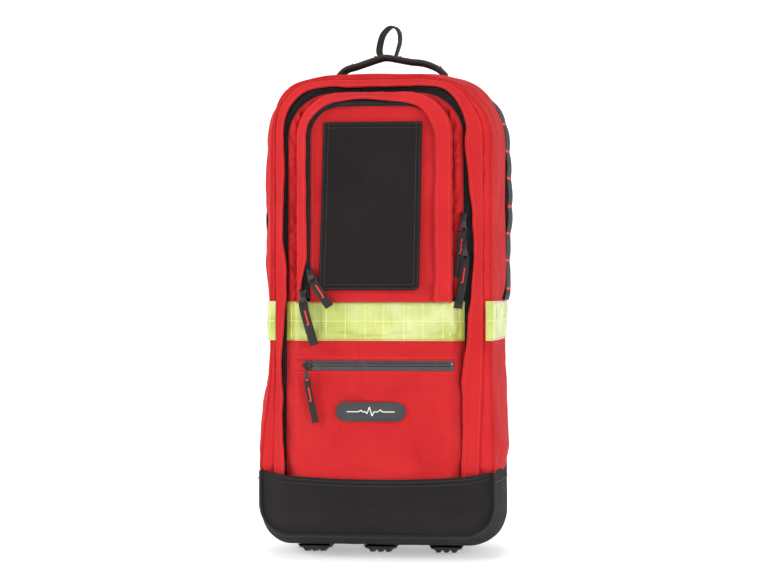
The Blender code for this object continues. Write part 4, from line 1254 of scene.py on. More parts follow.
def build_lid_fold():
    """The strip of red fabric that joins the lid to the boot, built fixed in place."""

    def place(down, across):
        x = (LOWER_HALF - 1 * MM) * (2 * across - 1)
        z = BOOT_TOP - 9 * MM + 11 * MM * down
        return x, lower_depth(x) + 1.6 * MM + 0.3 * MM * wave(x / 0.02, z / 0.01, 0, 3), z

    fold = sheet("lid_fold", grid(9, 101, place), RED, None, 0.8 * MM)
    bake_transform(fold)


# ---------------------------------------------------------------- the boot and skids
FACE_HALF = 0.149
FACE_LOW, FACE_RADIUS = 0.031, 0.040


def boot_edge(x):
    """The height of the boot's top edge, which dips to the middle of the front."""
    return BOOT_TOP - 3.8 * MM + 9.0 * MM * min(1.0, abs(x) / 0.15) ** 2.3


def boot_lean(x):
    """How far the boot's left side has slumped towards the right."""
    return 2.8 * MM * smooth((-x - 0.10) / 0.04)


def build_boot():
    """The black boot: a domed front face, the wrap of its sides and bottom, and piping and stitching round them."""

    def face(down, across):
        x = FACE_HALF * (2 * across - 1) * 0.999
        beyond = abs(x) - FACE_HALF + FACE_RADIUS
        z = mix(FACE_LOW + drawn_in(beyond, FACE_RADIUS), boot_edge(x), down)
        corner = max(0.0, beyond), max(0.0, FACE_LOW + FACE_RADIUS - z)
        edge = FACE_RADIUS - math.hypot(*corner) if min(corner) > 0 else min(FACE_HALF - abs(x), z - FACE_LOW)
        y = BORDER - 0.5 * MM + (LOWER_FRONT - 0.6 * MM - BORDER) * smooth(edge / 0.040) ** 0.8
        y -= 1.0 * MM * ridge(x / 0.06, z / 0.05, 0, 2) * smooth(edge / 0.02)
        y += 0.4 * MM * wave(x / 0.02, z / 0.03, 0, 4)
        return x + boot_lean(x), y, z

    front = sheet("boot_front", grid(25, 91, face), BLACK, "pack", 1.6 * MM, rounds=1)
    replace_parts(front, "base_boot")
    rows, columns, brim = 19, 141, boot_edge(0.15)

    def outline(y):
        _, lower, bottom, _, _ = station(y)
        turn = [math.radians(a) for a in range(180, 271, 6)]
        left = [(-lower, mix(brim, bottom + FACE_RADIUS, share)) for share in shares(6)[:-1]]
        for a in turn:
            left.append((FACE_RADIUS * (1 + math.cos(a)) - lower, bottom + FACE_RADIUS * (1 + math.sin(a))))
        return Line(left + [(-x, z) for x, z in reversed(left)])

    lines = [outline(mix(BORDER, BACK_SEAM, share)) for share in shares(rows - 1)]

    def wrap(down, across):
        x, z = lines[round(down * (rows - 1))].at(across)
        y = mix(BORDER, BACK_SEAM, down) - 0.3 * MM
        puff = 1.2 * wave(y / 0.04, z / 0.05, x / 0.07, 6) + 0.9 * ridge(y / 0.05, x / 0.06, z / 0.06, 8)
        out = Vector((x, 0, min(0.0, z - 0.05))).normalized()
        out *= (puff * math.sin(math.pi * down) ** 0.5 - 0.6) * MM
        lean = boot_lean(x) * (1 - smooth((y - 0.045) / 0.03))
        return x + out.x + lean, y, max(z + out.z, BOOT_LOW - 0.6 * MM)

    sheet("boot_wrap", flipped(grid(rows, columns, wrap)), BLACK, "pack", 1.8 * MM, rounds=1)
    ring = [face(down, 0.0) for down in shares(12, 1.0, 0.0)[:-1]]
    ring += [face(0.0, across) for across in shares(160)]
    ring += [face(down, 1.0) for down in shares(12)[1:]]
    ring = [(x * 1.004, y - 0.4 * MM, z - 0.4 * MM) for x, y, z in ring]
    tube("boot_piping", ring, 2.0 * MM, BINDING, "pack")
    for down in (0.955, 0.885):
        line = [face(down, across) for across in shares(160, 0.02, 0.98)]
        sew("black", "pack", line, 0.35 * MM, radius=0.45 * MM)
    for sign, share in ((-1, 0.03), (1, 0.97)):
        line = [lines[round(k)].at(share) for k in np.linspace(0, rows - 1, 30)]
        depths = np.linspace(BORDER, BACK_SEAM, 30)
        points = [(x + sign * 1.3 * MM, float(y), z) for (x, z), y in zip(line, depths)]
        thread("black", "pack").row(points, (sign, 0, 0), radius=0.45 * MM)


def build_skids():
    """The three rubber skids, with three rounded ridges under each."""
    pitch, crest, groove = 10.2 * MM, 0.9 * MM, 4.4 * MM
    for name in ("left", "centre", "right"):
        corner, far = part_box(f"skid_{name}")
        middle, half, top = (corner.x + far.x) / 2, (far.x - corner.x) / 2, far.z + 1.2 * MM
        underside = []
        for x in shares(96, -half, half):
            local = min(abs(x - ridge_x) for ridge_x in (-pitch, 0, pitch))
            z = groove * smooth((local - crest) / (pitch / 2 - crest) * 0.92) ** 0.8
            z += 4.5 * MM * smooth((abs(x) - half + 3.2 * MM) / (3.2 * MM))
            underside.append((middle + x, z))
        rows = []
        for share in shares(40):
            y = mix(corner.y, far.y, share)
            rise = 4.0 * MM * smooth((0.32 - share) / 0.32) + 2.2 * MM * smooth((share - 0.94) / 0.06)
            rows.append([(x, y, z + rise) for x, z in underside])
            rows[-1] += [(middle + side * half * 0.96, y, top) for side in (1, -1)]
        skid = sheet(f"rubber_skid_{name}", rows, SKID_RUBBER, "pack", closed=True)
        cap_ends(skid)
        skid.data.set_sharp_from_angle(angle=math.radians(50))
        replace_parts(skid, f"skid_{name}")


# ---------------------------------------------------------------- bands, webbing and handle on the shell
def build_side_bands(tree):
    """The reflective band's side lengths, laid on the settled shell."""
    for sign, name in ((-1, "left"), (1, "right")):

        def place(down, across):
            z = mix(BAND_LOW, BAND_HIGH, down)
            run = -10 * MM + 0.181 * (across if sign > 0 else 1 - across)
            if run < 0:
                x = sign * (0.1415 + run * 0.9) + 6 * MM
                return x, BORDER - 4.4 * MM + 0.6 * MM * smooth(1 + run / (4 * MM)), z
            y = BORDER + 0.6 * MM + run
            hit = drop(tree, (sign * 0.3, max(y, BORDER + 2.5 * MM), z), (-sign, 0, 0), 1.0 * MM)
            x = hit.x if hit else sign * (station(y)[0] + 1 * MM)
            return x, y - 2.8 * MM * (1 - smooth(run / (4 * MM))), z

        band = quilted(f"side_band_{name}", place, 110, 42, "pack")
        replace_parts(band, f"reflective_band_{name}")
        for down in (0.035, 0.965):
            points = [place(down, across) for across in shares(60, 0.02, 0.98)]
            points = [(x + sign * 0.5 * MM, y - 0.2 * MM, z) for x, y, z in points]
            thread("red", "pack").row(points, (sign * 0.95, -0.3, 0), 3.2 * MM, radius=0.3 * MM)


DAISY_Y = middle_and_half("daisy_chain_left")[0].y
DAISY_PITCH, FIRST_TACK = 36 * MM, 14 * MM


def build_daisy_chains(tree):
    """The daisy chain webbing: flat against the shell at each red bartack, and a shallow loop between them."""
    half, _, _, top, radius = station(DAISY_Y)
    path = arch(half, BAND_HIGH + 1 * MM, top, radius)
    first = (path.length / 2 + 0.064) / path.length
    length = (1 - first) * path.length
    loops = round((length - FIRST_TACK) / DAISY_PITCH)
    count = 190
    for sign, name, tilt, loft_most in ((-1, "left", -0.1, 1.0 * MM), (1, "right", 0.2, 1.8 * MM)):
        base, ups, raised = [], [], []
        for share in shares(count):
            at = mix(first, 1, share)
            (x, z), (nx, nz) = path.at(at), path.outward(at)
            normal, spot = Vector((sign * nx, 0, nz)), Vector((sign * x, DAISY_Y, z))
            base.append(drop(tree, spot + normal * 0.1, -normal, 0.9 * MM) or spot)
            ups.append(normal)
            here = length * share - FIRST_TACK
            loft = loft_most * abs(math.sin(math.pi * here / DAISY_PITCH)) ** 0.75 if here > 0 else 0.3 * MM
            raised.append(base[-1] + normal * (1.3 * MM + loft))
        tilted = [Vector((0, 1, 0)) + normal * tilt * smooth(i / 40) for i, normal in enumerate(ups)]

        def turned(share):
            return tilted[round(share * count)]

        strap(f"daisy_base_{name}", base, turned, 25 * MM, WEBBING, "pack", 1.2 * MM)
        piece = strap(f"daisy_loops_{name}", raised, turned, 24.5 * MM, WEBBING, "pack", 1.4 * MM)
        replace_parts(piece, f"daisy_chain_{name}")
        for k in range(loops + 1):
            i = min(count - 1, max(1, round((FIRST_TACK + DAISY_PITCH * k) / length * count)))
            along, centre = raised[i + 1] - raised[i - 1], raised[i] + ups[i] * 0.95 * MM
            thread("red", "pack").tack(centre, along, tilted[i] * -sign, 22 * MM, 3.2 * MM, 0.55 * MM)


# The handle's and the hanging loop's lines, in millimetres across and up.
HANDLE_LINE = ((-64.0, 622.0), (-57.5, 629.5), (-50.0, 634.2), (-40.0, 636.8), (-25.8, 641.5), (-11.0, 646.2),
               (0.4, 648.5), (17.5, 645.6), (33.5, 642.5), (48.3, 640.8), (61.0, 636.8), (72.0, 630.8), (80.0, 623.0))
LOOP_LINE = ((-7.0, 650.0), (-9.0, 657.0), (-7.5, 668.0), (-4.0, 679.0), (4.0, 688.0), (12.0, 689.0),
             (18.0, 682.0), (19.0, 670.0), (16.5, 659.0), (13.0, 648.5))


def build_handle():
    """The grab handle, peaked where the hanging loop pulls it up, and the loop."""
    y = middle_and_half("grab_handle")[0].y
    centres = spline([(x * MM, y, z * MM) for x, z in HANDLE_LINE], 10)

    def width(share):
        return 22 * MM - 4 * MM * math.sin(math.pi * share)

    handle = strap("handle_webbing", centres, BACKWARD, width, WEBBING, "grab_handle", 5.6 * MM, crown=1.0 * MM,
                   columns=9)
    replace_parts(handle, "grab_handle")
    red = thread("red", "grab_handle")
    for x_tack in (-0.043, -0.012, 0.0187, 0.0715):
        i = min(range(1, len(centres) - 1), key=lambda k: abs(centres[k].x - x_tack))
        along = centres[i + 1] - centres[i - 1]
        up = along.cross(Vector(BACKWARD)).normalized()
        up = up if up.z > 0 else -up
        red.tack(centres[i] + up * 3.9 * MM, along, BACKWARD, 15 * MM, 3.0 * MM, 0.5 * MM)
        front = centres[i] - Vector((0, width(i / len(centres)) / 2 + 0.3 * MM, 0))
        red.tack(front, along + up * 3 * MM, up, 5.4 * MM, 2.6 * MM, 0.5 * MM)
    loop = [(x * MM, y + 3 * MM * math.sin(i / 3), z * MM) for i, (x, z) in enumerate(LOOP_LINE)]

    def twist(share):
        return 0.62 - 0.5 * share, 0.78, 0.0

    piece = strap("hanging_loop", spline(loop, 8), twist, 11 * MM, WEBBING, "grab_handle", 1.9 * MM)
    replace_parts(piece, "hang_loop")


# ---------------------------------------------------------------- sliders and pulls
def build_slider(name, body, turn=0.0):
    """A zip slider: a waisted body with side flanges, and the bridge that its pull hangs from."""
    middle, half = middle_and_half(name)
    spin = Matrix.Rotation(turn, 4, "Y")
    place = Matrix.Translation((middle.x, middle.y + half.y, middle.z)) @ spin
    right = [(4.6, 5.4), (4.9, 4.4), (4.3, 0.6), (2.6, -5.2)]
    outline = [(-4.6, 5.4), *right, *((-x, z) for x, z in right[:0:-1])]
    rows = []
    for out, size in ((0.0, 0.96), (-0.5, 1.0), (-2.5, 1.0), (-3.1, 0.9), (-3.3, 0.72)):
        rows.append([tuple(place @ (Vector((x * size, out, z * size)) * MM)) for x, z in outline])
    plate = sheet(f"{name}_plate", rows, METAL, body, closed=True)
    cap_ends(plate)
    hump = [(-2.8, 4.6), (-5.6, 4.4), (-7.4, 2.6), (-7.7, 0.0), (-7.4, -2.6), (-5.6, -4.4), (-2.8, -4.6)]
    centres = spline([place @ (Vector((0, y, z)) * MM) for y, z in hump], 5)
    bridge = strap(f"{name}_bridge", centres, spin @ Vector(ACROSS), 2.6 * MM, METAL, body, 1.1 * MM)
    piece = join(f"{name}_body", [plate, bridge])
    step = piece.modifiers.new("edges", "BEVEL")
    step.width, step.segments, step.angle_limit = 0.25 * MM, 2, math.radians(40)
    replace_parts(piece, name)


def webbing_tail(name, centres, side, widths, thickness, gap, body):
    """A folded webbing tail: two layers, gap to each side of its centres."""
    layers = []
    for sign, wide in zip((-1, 1), widths):
        points = [c + Vector((0, sign * gap, 0)) for c in centres]
        layers.append(strap("layer", points, side, wide, WEBBING, body, thickness))
    return join(f"{name}_webbing", layers)


def build_pull(name, body, pin, path, width=10.6 * MM):
    """A zip pull: a moulded loop from the slider's bridge, and a folded webbing tail with a red stitched line."""
    pin = Vector(pin)
    points = [pin + Vector(p) * MM for p in path]
    hang = points[0] - pin
    along = hang.normalized()
    side = Vector(FRONT).cross(along).normalized()
    neck = []
    for share in (-0.05, 0.15, 0.35, 0.55, 0.66):
        neck.append(pin + hang * share + Vector(FRONT) * 1.2 * MM * math.sin(math.pi * share))

    def wide(share):
        return (4.8 + 4.6 * share) * MM

    collar = strap(f"{name}_neck", spline(neck, 5), side, wide, PLASTIC, body, 1.5 * MM)
    bow = ((-1, 0.6), (-1.1, 0.82), (-0.9, 1.03), (0, 1.1), (0.9, 1.03), (1.1, 0.82), (1, 0.6))
    bow = spline([pin + hang * v + side * (4.1 * MM * u) for u, v in bow], 4)
    join(f"{name}_loop", [collar, tube(f"{name}_bow", bow, 1.1 * MM, PLASTIC, body)])
    centres = spline([points[0] - along * 1.0 * MM, *points], 10)
    tail = webbing_tail(name, centres, side, (width, width * 0.98), 1.4 * MM, 0.9 * MM, body)
    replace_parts(tail, name)
    stitched_line(Line(centres), side, body, 0.17, 18 * MM)


def stitched_line(line, side, body, start, run):
    """The red satin stitch down the middle of a pull's tail, with a short foot."""
    proud = Vector((0, -1.75 * MM, 0))
    middle, end = start + run / 2 / line.length, start + run / line.length
    down = Vector(line.direction(middle))
    red = thread("red", body)
    red.tack(Vector(line.at(middle)) + proud + side * 0.7 * MM, side, -down, run, 2.1 * MM, 0.5 * MM)
    red.tack(Vector(line.at(end)) + proud - side * 0.3 * MM, down, side, 2.6 * MM, 1.8 * MM, 0.45 * MM)


SLIDER_BODIES = {
    "main_zip_slider_upper": "main_slider_upper",
    "main_zip_slider_lower": "main_slider_lower",
    "pocket_zip_slider_upper": "pocket_slider_upper",
    "pocket_zip_slider_lower": "front_lid",
}
# Each pull's line below its pin, in millimetres.
TAILS = {
    "main_pull_upper": ((-2.0, 0, -18.5), (-3.2, 0.6, -30.0), (-5.0, 1.0, -50.0), (-6.8, 1.0, -74.5)),
    "main_pull_lower": ((1.2, 0, -19.0), (-0.2, -0.6, -32.0), (-3.0, -2.0, -53.0), (-7.0, -8.5, -78.0)),
    "pocket_pull_upper": ((4.5, 0, -9.5), (8.5, -0.5, -16.0), (16.5, -1.0, -28.0), (25.5, -0.8, -41.0)),
    "pocket_pull_lower": ((1.2, 0, -12.5), (3.0, 0, -22.0), (8.5, 1.0, -42.0), (14.5, 3.0, -63.0)),
}


def build_hardware():
    """All the zip sliders and their pulls."""
    for node, body in SLIDER_BODIES.items():
        build_slider(node, body)
    build_slider("lower_zip_slider", "lower_slider", math.radians(90))
    joints = {joint["child"]: joint for joint in frame["joints"]}
    for body, path in TAILS.items():
        build_pull(body.replace("_pull", "_zip_pull"), body, joints[body]["pos_m"], path)
    build_loop_pull(Vector(joints["lower_pull"]["pos_m"]))


def build_loop_pull(pin):
    """The lower zip's pull: a loop through the bridge, a thin leader and a narrow webbing tail."""
    body = "lower_pull"
    loop = ((-0.3, 1.4), (-2.4, 2.6), (-4.4, 1.0), (-4.4, -3.0), (-3.2, -8.4), (-1.4, -9.4), (0.2, -7.0),
            (0.3, -2.0))
    points = [pin + Vector((0, y, z)) * MM for y, z in loop]
    dense = [points[i - 1].lerp(points[i], t) for i in (*range(1, 8), 0) for t in (0.15, 0.5, 0.85)]
    tube("lower_zip_pull_loop", dense, 0.7 * MM, METAL, body, closed=True)
    leader = spline([pin + Vector(p) * MM for p in ((0, -2.6, -7.5), (0.3, -2.2, -12), (0.8, -1.8, -18))], 6)
    strap("lower_zip_leader", leader, (1, 0, 0.1), 4.2 * MM, PLASTIC, body, 1.3 * MM)
    path = ((0.7, -1.8, -16), (3.0, -1.2, -32), (6.6, -0.8, -50), (11.2, 0.0, -71))
    centres = spline([pin + Vector(p) * MM for p in path], 10)
    tail = webbing_tail("lower_zip_pull", centres, (1, 0, 0.2), (7.4 * MM, 7.3 * MM), 1.2 * MM, 0.8 * MM, body)
    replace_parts(tail, "lower_zip_pull")
    line = Line(centres)
    stitched_line(line, Vector((0.98, 0, 0.19)), body, 0.2, 17 * MM)
    top = Vector(line.at(0.03)) + Vector(FRONT) * 1.7 * MM
    thread("red", body).tack(top, line.direction(0.03), (1, 0, 0.2), 4.4 * MM, 2.0 * MM)


# ---------------------------------------------------------------- the back and harness
def rounded_wide(z, bottom, top, half, radius_low, radius_high):
    """The half-width of a rounded rectangle at a height."""
    return half - drawn_in(bottom + radius_low - z, radius_low) - drawn_in(z - top + radius_high, radius_high)


def edge_loop(place, down, across):
    """A loop round a sheet's edge, in a number of steps down and across."""
    loop = [place(share, 0.0) for share in shares(down)] + [place(1.0, share) for share in shares(across)[1:-1]]
    loop += [place(1 - share, 1.0) for share in shares(down)]
    return loop + [place(0.0, 1 - share) for share in shares(across)[1:-1]]


def slab_place(half, bottom, top, radius_low, radius_high, depth):
    """Places for a rounded sheet facing the wearer: depth(x, z, edge distance) gives y."""

    def place(down, across):
        z = bottom + (top - bottom) * down
        wide = rounded_wide(z, bottom, top, half, radius_low, radius_high)
        x = (1 - 2 * across) * wide
        edge = min(wide - abs(x), z - bottom, top - z)
        return x, depth(x, z, edge), z

    return place


def build_back():
    """The back wall, its lining, and the frame inside it."""
    half, bottom, top = high("back_panel").x, low("back_panel").z, high("back_panel").z
    outline = half, bottom, top, 0.040, 0.080

    def puff(x, z, edge):
        swell = 2.6 * MM * smooth(edge / 0.012)
        swell += 0.8 * MM * wave(x / 0.05, z / 0.06, 0, 3) * smooth(edge / 0.02)
        return BACK_FACE - 3.2 * MM + swell

    def hollow(x, z, edge):
        return 0.0692 - 0.6 * MM * wave(x / 0.06, z / 0.06, 0, 5)

    wall = sheet("back_wall", grid(91, 51, slab_place(*outline, puff)), BLACK, "pack", 2.0 * MM, rounds=1)
    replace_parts(wall, "back_panel")
    loop = edge_loop(slab_place(*outline, lambda x, z, edge: BACK_SEAM + 2.2 * MM), 80, 30)
    tube("back_piping", loop, 2.2 * MM, BINDING, "pack", closed=True)
    inner = slab_place(0.143, 0.028, 0.612, 0.036, 0.074, hollow)
    sheet("back_lining", flipped(grid(61, 31, inner)), LINING, "pack", 0.8 * MM)
    for node, material in (("frame_sheet", BOARD), ("frame_stay_left", ALLOY), ("frame_stay_right", ALLOY)):
        slots = frame["nodes"][node].data.materials
        slots.clear()
        slots.append(material)


def build_pad(name, node, radius_low, radius_high, channels, rows, columns):
    """A padded panel: mesh over foam, pressed down along its channels and bound round its edge."""
    corner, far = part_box(node)
    outline = far.x, corner.z, far.z, radius_low, radius_high

    def groove(x, z):
        return min(channels(x, z, corner.z, far.z))

    def depth(x, z, edge):
        rise = (far.y - corner.y - 2.0 * MM) * smooth(edge / 0.011) ** 0.8
        return corner.y + rise * (0.35 + 0.65 * smooth(groove(x, z) / 0.009))

    pad = sheet(name, grid(rows, columns, slab_place(*outline, depth)), MESH, "pack")

    def pinned(point):
        wide = rounded_wide(point.z, corner.z, far.z, far.x, radius_low, radius_high)
        edge = min(wide - abs(point.x), point.z - corner.z, far.z - point.z)
        return edge < 2.5 * MM or groove(point.x, point.z) < 2.6 * MM

    settle(pad, pinned, frames=14, pressure=3.0, slack=0.01, bending=0.6, reach=5 * MM)
    rounding(pad)
    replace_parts(pad, node)
    loop = edge_loop(slab_place(*outline, lambda x, z, edge: corner.y + 1.2 * MM), 60, 40)
    tube(f"{name}_binding", loop, 2.4 * MM, BINDING, "pack", closed=True)


def build_pads():
    """The back pad, with a spine channel on each side and three across it, and the lumbar pad."""

    def spine(x, z, bottom, top):
        beside = 0.02 * (abs(x) < 0.022)
        return [abs(abs(x) - 0.022), *(abs(z - mix(bottom, top, k / 4)) + beside for k in (1, 2, 3))]

    def waist(x, z, bottom, top):
        return abs(abs(x) - 0.036), abs(abs(x) - 0.074)

    build_pad("back_padding", "back_pad", 0.03, 0.045, spine, 77, 49)
    build_pad("lumbar_padding", "lumbar_pad", 0.03, 0.03, waist, 31, 57)


STRAP_PATH = ((0.046, 0.0890, 0.607), (0.047, 0.0920, 0.586), (0.050, 0.1050, 0.562), (0.056, 0.1190, 0.515),
              (0.066, 0.1245, 0.455), (0.082, 0.1245, 0.385), (0.096, 0.1180, 0.315), (0.104, 0.1070, 0.255))
ADJUSTER_PATH = (0.118, 0.0990, 0.190), (0.130, 0.0905, 0.145), (0.137, 0.0850, 0.100), (0.139, 0.0835, 0.088)
LIFTER_PATH = ((0.0575, 0.1262, 0.505), (0.058, 0.1275, 0.520), (0.066, 0.1190, 0.556), (0.081, 0.1050, 0.588),
               (0.096, 0.0860, 0.610))


def build_straps():
    """The shoulder straps: crowned foam bodies bound at their edges, with sewn webbing, locks and lifters."""
    for sign, name in ((-1, "left"), (1, "right")):
        centres = spline([(sign * x, y, z) for x, y, z in STRAP_PATH], 9)
        last = len(centres) - 1
        stations = []
        for i, centre in enumerate(centres):
            along = (centres[min(i + 1, last)] - centres[max(i - 1, 0)]).normalized()
            side = (Vector(ACROSS) - along * along.x).normalized()
            out = side.cross(along)
            half = 0.0310 - 0.0090 * max(0, 2 * i / last - 1)
            stations.append((centre, along, side, out if out.y > 0 else -out, half))
        rows = []
        for centre, along, side, out, half in stations:
            row = []
            for k in range(28):
                c, s = math.cos(math.pi * k / 14), math.sin(math.pi * k / 14)
                u = math.copysign(abs(c) ** 0.55, c)
                thick = 6.2 * MM * (1 - 0.35 * u * u) - 1.1 * MM * math.exp(-((abs(u) - 0.62) / 0.07) ** 2)
                v = math.copysign(abs(s) ** 0.8, s) * thick
                row.append(tuple(centre + side * u * half + out * v))
            rows.append(row)
        body = sheet(f"strap_padding_{name}", rows, MESH, "pack", slot="black_fabric", closed=True, rounds=1)
        cap_ends(body)
        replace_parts(body, f"shoulder_strap_{name}")
        for edge, label in ((-1, "in"), (1, "out")):
            line = [centre + side * edge * half for centre, _, side, _, half in stations]
            tube(f"strap_binding_{name}_{label}", line, 2.1 * MM, BINDING, "pack")
        outer = [centre + out * 6.6 * MM for centre, _, _, out, _ in stations[10:]]
        strap(f"strap_webbing_{name}", outer, ACROSS, 25 * MM, WEBBING, "pack", 1.5 * MM)
        for centre, along, side, out, _ in stations[14:last - 1:9]:
            side = side if along.cross(side).dot(out) > 0 else -side
            thread("red", "pack").tack(centre + out * 7.6 * MM, along, side, 22 * MM, 3 * MM, 0.5 * MM)
        build_lock(name, sign)


def build_lock(name, sign):
    """A ladder lock, the adjuster webbing below it and the load lifter above."""
    middle, half = middle_and_half(f"ladder_lock_{name}")
    x, y, z = middle
    bottom, top = z - half.z, z + half.z
    parts = []
    for side in (-1, 1):
        centre = x + side * (half.x - 2.1 * MM), y, z
        parts.append(moulded(centre, (4.2 * MM, 5.6 * MM, 2 * half.z), "pack", 1.2 * MM))
    for height, deep in ((bottom + 2.2 * MM, 5.0), (bottom + 14.6 * MM, 5.6), (top - 2.4 * MM, 5.2)):
        size = 2 * half.x - 5 * MM, deep * MM, 4.4 * MM
        parts.append(moulded((x, y, height), size, "pack", 1.3 * MM))
    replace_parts(join(f"lock_{name}", parts), f"ladder_lock_{name}")
    path = [(x, y - 1 * MM, top - 12 * MM), (x, y - 5 * MM, bottom + 6 * MM)]
    path += [(sign * px, py, pz) for px, py, pz in ADJUSTER_PATH]
    piece = strap(f"adjuster_{name}", spline(path, 9), (1, 0, sign * 0.3), 20 * MM, WEBBING, "pack", 1.5 * MM)
    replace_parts(piece, f"adjuster_webbing_{name}")
    foot = sign * 0.1375, 0.0862, 0.104
    thread("red", "pack").tack(foot, (sign * 0.05, -0.1, -1), (-1, 0, 0), 17 * MM, 3 * MM, 0.5 * MM)
    path = spline([(sign * px, py, pz) for px, py, pz in LIFTER_PATH], 9)
    piece = strap(f"lifter_{name}", path, ACROSS, 20 * MM, WEBBING, "pack", 1.5 * MM)
    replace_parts(piece, f"load_lifter_{name}")


def build_buckle(prefix, male_body, female_body):
    """A side-release buckle in two halves: a housing with side windows, and a plug with sprung prongs."""
    middle, half = middle_and_half(f"{prefix}_buckle_female")
    x, y, z = middle
    wide, thick, tall = half * 2
    housing = (
        ((x, y - half.y + 1.1 * MM, z), (wide, 2.2 * MM, tall), 0.9),
        ((x, y + half.y - 1.1 * MM, z), (wide, 2.2 * MM, tall), 0.9),
        ((x + half.x - 3 * MM, y, z), (6 * MM, thick, tall), 1.2),
        ((x, y, z - half.z + 1.0 * MM), (wide, thick * 0.9, 2 * MM), 0.8),
        ((x, y, z + half.z - 1.0 * MM), (wide, thick * 0.9, 2 * MM), 0.8),
    )
    parts = [moulded(centre, size, female_body, radius * MM) for centre, size, radius in housing]
    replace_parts(join(f"{prefix}_housing", parts), f"{prefix}_buckle_female")
    corner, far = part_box(f"{prefix}_buckle_male")
    base = corner.x + 13 * MM
    plug = [
        ((corner.x + 2.2 * MM, y, z), (4.4 * MM, thick * 0.8, tall), 1.3),
        ((base - 3 * MM, y, z), (6 * MM, thick, tall), 1.3),
    ]
    for sign in (-1, 1):
        side = z + sign * (half.z - 1.8 * MM)
        plug.append(((corner.x + 6.5 * MM, y, side), (13 * MM, thick * 0.8, 3.6 * MM), 1.1))
    parts = [moulded(centre, size, male_body, radius * MM) for centre, size, radius in plug]
    for sign in (-1, 1):
        prong = ((base, 0.55), (base + 8 * MM, 0.64), (base + 15 * MM, 0.66), (far.x, 0.5))
        prong = spline([(px, y, z + sign * half.z * out) for px, out in prong], 4)
        parts.append(strap("plug_prong", prong, UP, 5.0 * MM, PLASTIC, male_body, 2.6 * MM))
    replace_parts(join(f"{prefix}_plug", parts), f"{prefix}_buckle_male")


def build_sternum():
    """The chest strap: webbing from each shoulder strap to the buckle, held by keepers."""
    build_buckle("sternum", "sternum_clip", "pack")
    for sign, side, body in ((-1, "left", "sternum_clip"), (1, "right", "pack")):
        middle, half = middle_and_half(f"sternum_webbing_{side}")
        x, y, z = middle
        inner, outer = x - sign * half.x, x + sign * half.x
        points = [(mix(inner, outer, i / 24), y + 0.3 * MM * wave(i / 4), z) for i in range(25)]
        piece = strap(f"chest_webbing_{side}", points, UP, 20 * MM, WEBBING, body, 1.5 * MM)
        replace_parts(piece, f"sternum_webbing_{side}")
        for tack_x in (inner + sign * 6 * MM, outer - sign * 8 * MM):
            thread("red", body).tack((tack_x, y + 0.9 * MM, z), UP, ACROSS, 3 * MM, 16 * MM, 0.5 * MM)
        bridge = ((0.131, 15), (0.1345, 11), (0.1350, 0), (0.1345, -11), (0.131, -15))
        bridge = spline([(sign * 0.070, depth, z + rise * MM) for depth, rise in bridge], 5)
        strap(f"chest_keeper_{side}", bridge, ACROSS, 9 * MM, PLASTIC, "pack", 1.4 * MM)


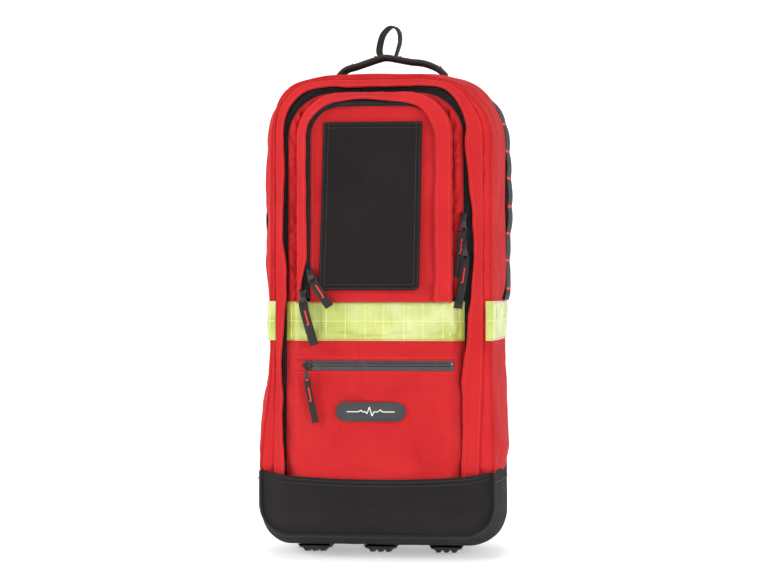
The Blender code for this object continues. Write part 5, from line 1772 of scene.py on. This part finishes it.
def build_hip_wing(sign, side):
    """One folded wing of the hip belt, padded, bound and backed with mesh, its webbing and its anchor."""
    body, node = f"hip_{side}", f"hip_wing_{side}"
    middle, half = middle_and_half(node)
    outer, inner = middle.x + sign * half.x, middle.x - sign * half.x

    def half_at(share):
        return half.z * (1 - 0.42 * smooth((share - 0.35) / 0.65))

    def face(down, across, out):
        tall, v = half_at(across), 2 * down - 1
        edge = min((1 - abs(v)) * tall, across * 0.098, (1 - across) * 0.098)
        puff = (half.y - 1.6 * MM) * smooth(edge / 0.012) * (0.55 + 0.45 * smooth(abs(v) * tall / 0.006))
        return mix(outer, inner, across), middle.y + out * (1.2 * MM + puff), middle.z + v * tall

    def pinned(point):
        rise, tall = point.z - middle.z, half_at((point.x - outer) / (inner - outer))
        at_end = min(abs(point.x - outer), abs(point.x - inner)) < 2 * MM
        return tall - abs(rise) < 2.5 * MM or at_end or abs(rise) < 1.8 * MM

    for out, label, material in ((1, "outer", BLACK), (-1, "inner", MESH)):
        rows = grid(27, 31, lambda down, across: face(down, across, out))
        rows = rows if sign * out < 0 else flipped(rows)
        pad = sheet(f"hip_{label}_{side}", rows, material, body, slot="black_fabric")
        settle(pad, pinned, frames=12, pressure=2.5, slack=0.008, bending=0.6, reach=3 * MM)
        rounding(pad)
        if out > 0:
            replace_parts(pad, node)
    loop = edge_loop(lambda across, down: face(down, across, 0), 24, 16)
    tube(f"hip_binding_{side}", loop, 2.3 * MM, BINDING, body, closed=True)
    web = [(mix(outer, inner, i / 20), middle.y + half.y + 0.6 * MM, middle.z) for i in range(4, 21)]
    web += [(inner - sign * 2 * MM, middle.y + 2 * MM, middle.z), (inner - sign * 3.5 * MM, middle.y, middle.z)]
    strap(f"hip_webbing_{side}_run", spline(web, 2), UP, 36 * MM, WEBBING, body, 1.5 * MM)
    anchor = ((0.1425, middle.y - 0.5 * MM), (0.1470, 0.1005), (0.1465, 0.0930), (0.1400, 0.0845))
    anchor = spline([(sign * x, y, middle.z) for x, y in anchor], 6)
    strap(f"hip_anchor_{side}", anchor, UP, 70 * MM, BLACK, "pack", 2.4 * MM)


def build_hip_belt():
    """The hip belt's two wings, the webbing that joins one to its buckle half, and the buckle."""
    build_hip_wing(-1, "left")
    build_hip_wing(1, "right")
    middle, half = middle_and_half("hip_webbing_left")
    start, length = middle.x - half.x, 2 * half.x + 2 * MM
    points = [(start + length * share, middle.y, middle.z) for share in shares(8)]
    piece = strap("hip_webbing_link", points, UP, 36 * MM, WEBBING, "hip_left", 1.5 * MM)
    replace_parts(piece, "hip_webbing_left")
    build_buckle("hip", "hip_left", "hip_right")


# ---------------------------------------------------------------- the whole scene
def main():
    build_studio()
    shell = build_shell()
    build_lining()
    build_border()
    build_main_zip()
    build_lid_skin()
    build_pocket_front()
    build_window()
    build_document_flap()
    panel = build_lower_panel()
    build_front_band(panel)
    build_lower_zip(panel)
    build_badge(panel)
    build_lid_fold()
    build_boot()
    build_skids()
    tree = surface_of(shell)
    build_side_bands(tree)
    build_daisy_chains(tree)
    build_handle()
    build_hardware()
    build_back()
    build_pads()
    build_straps()
    build_sternum()
    build_hip_belt()
    for sewn in THREADS.values():
        sewn.finish()


main()
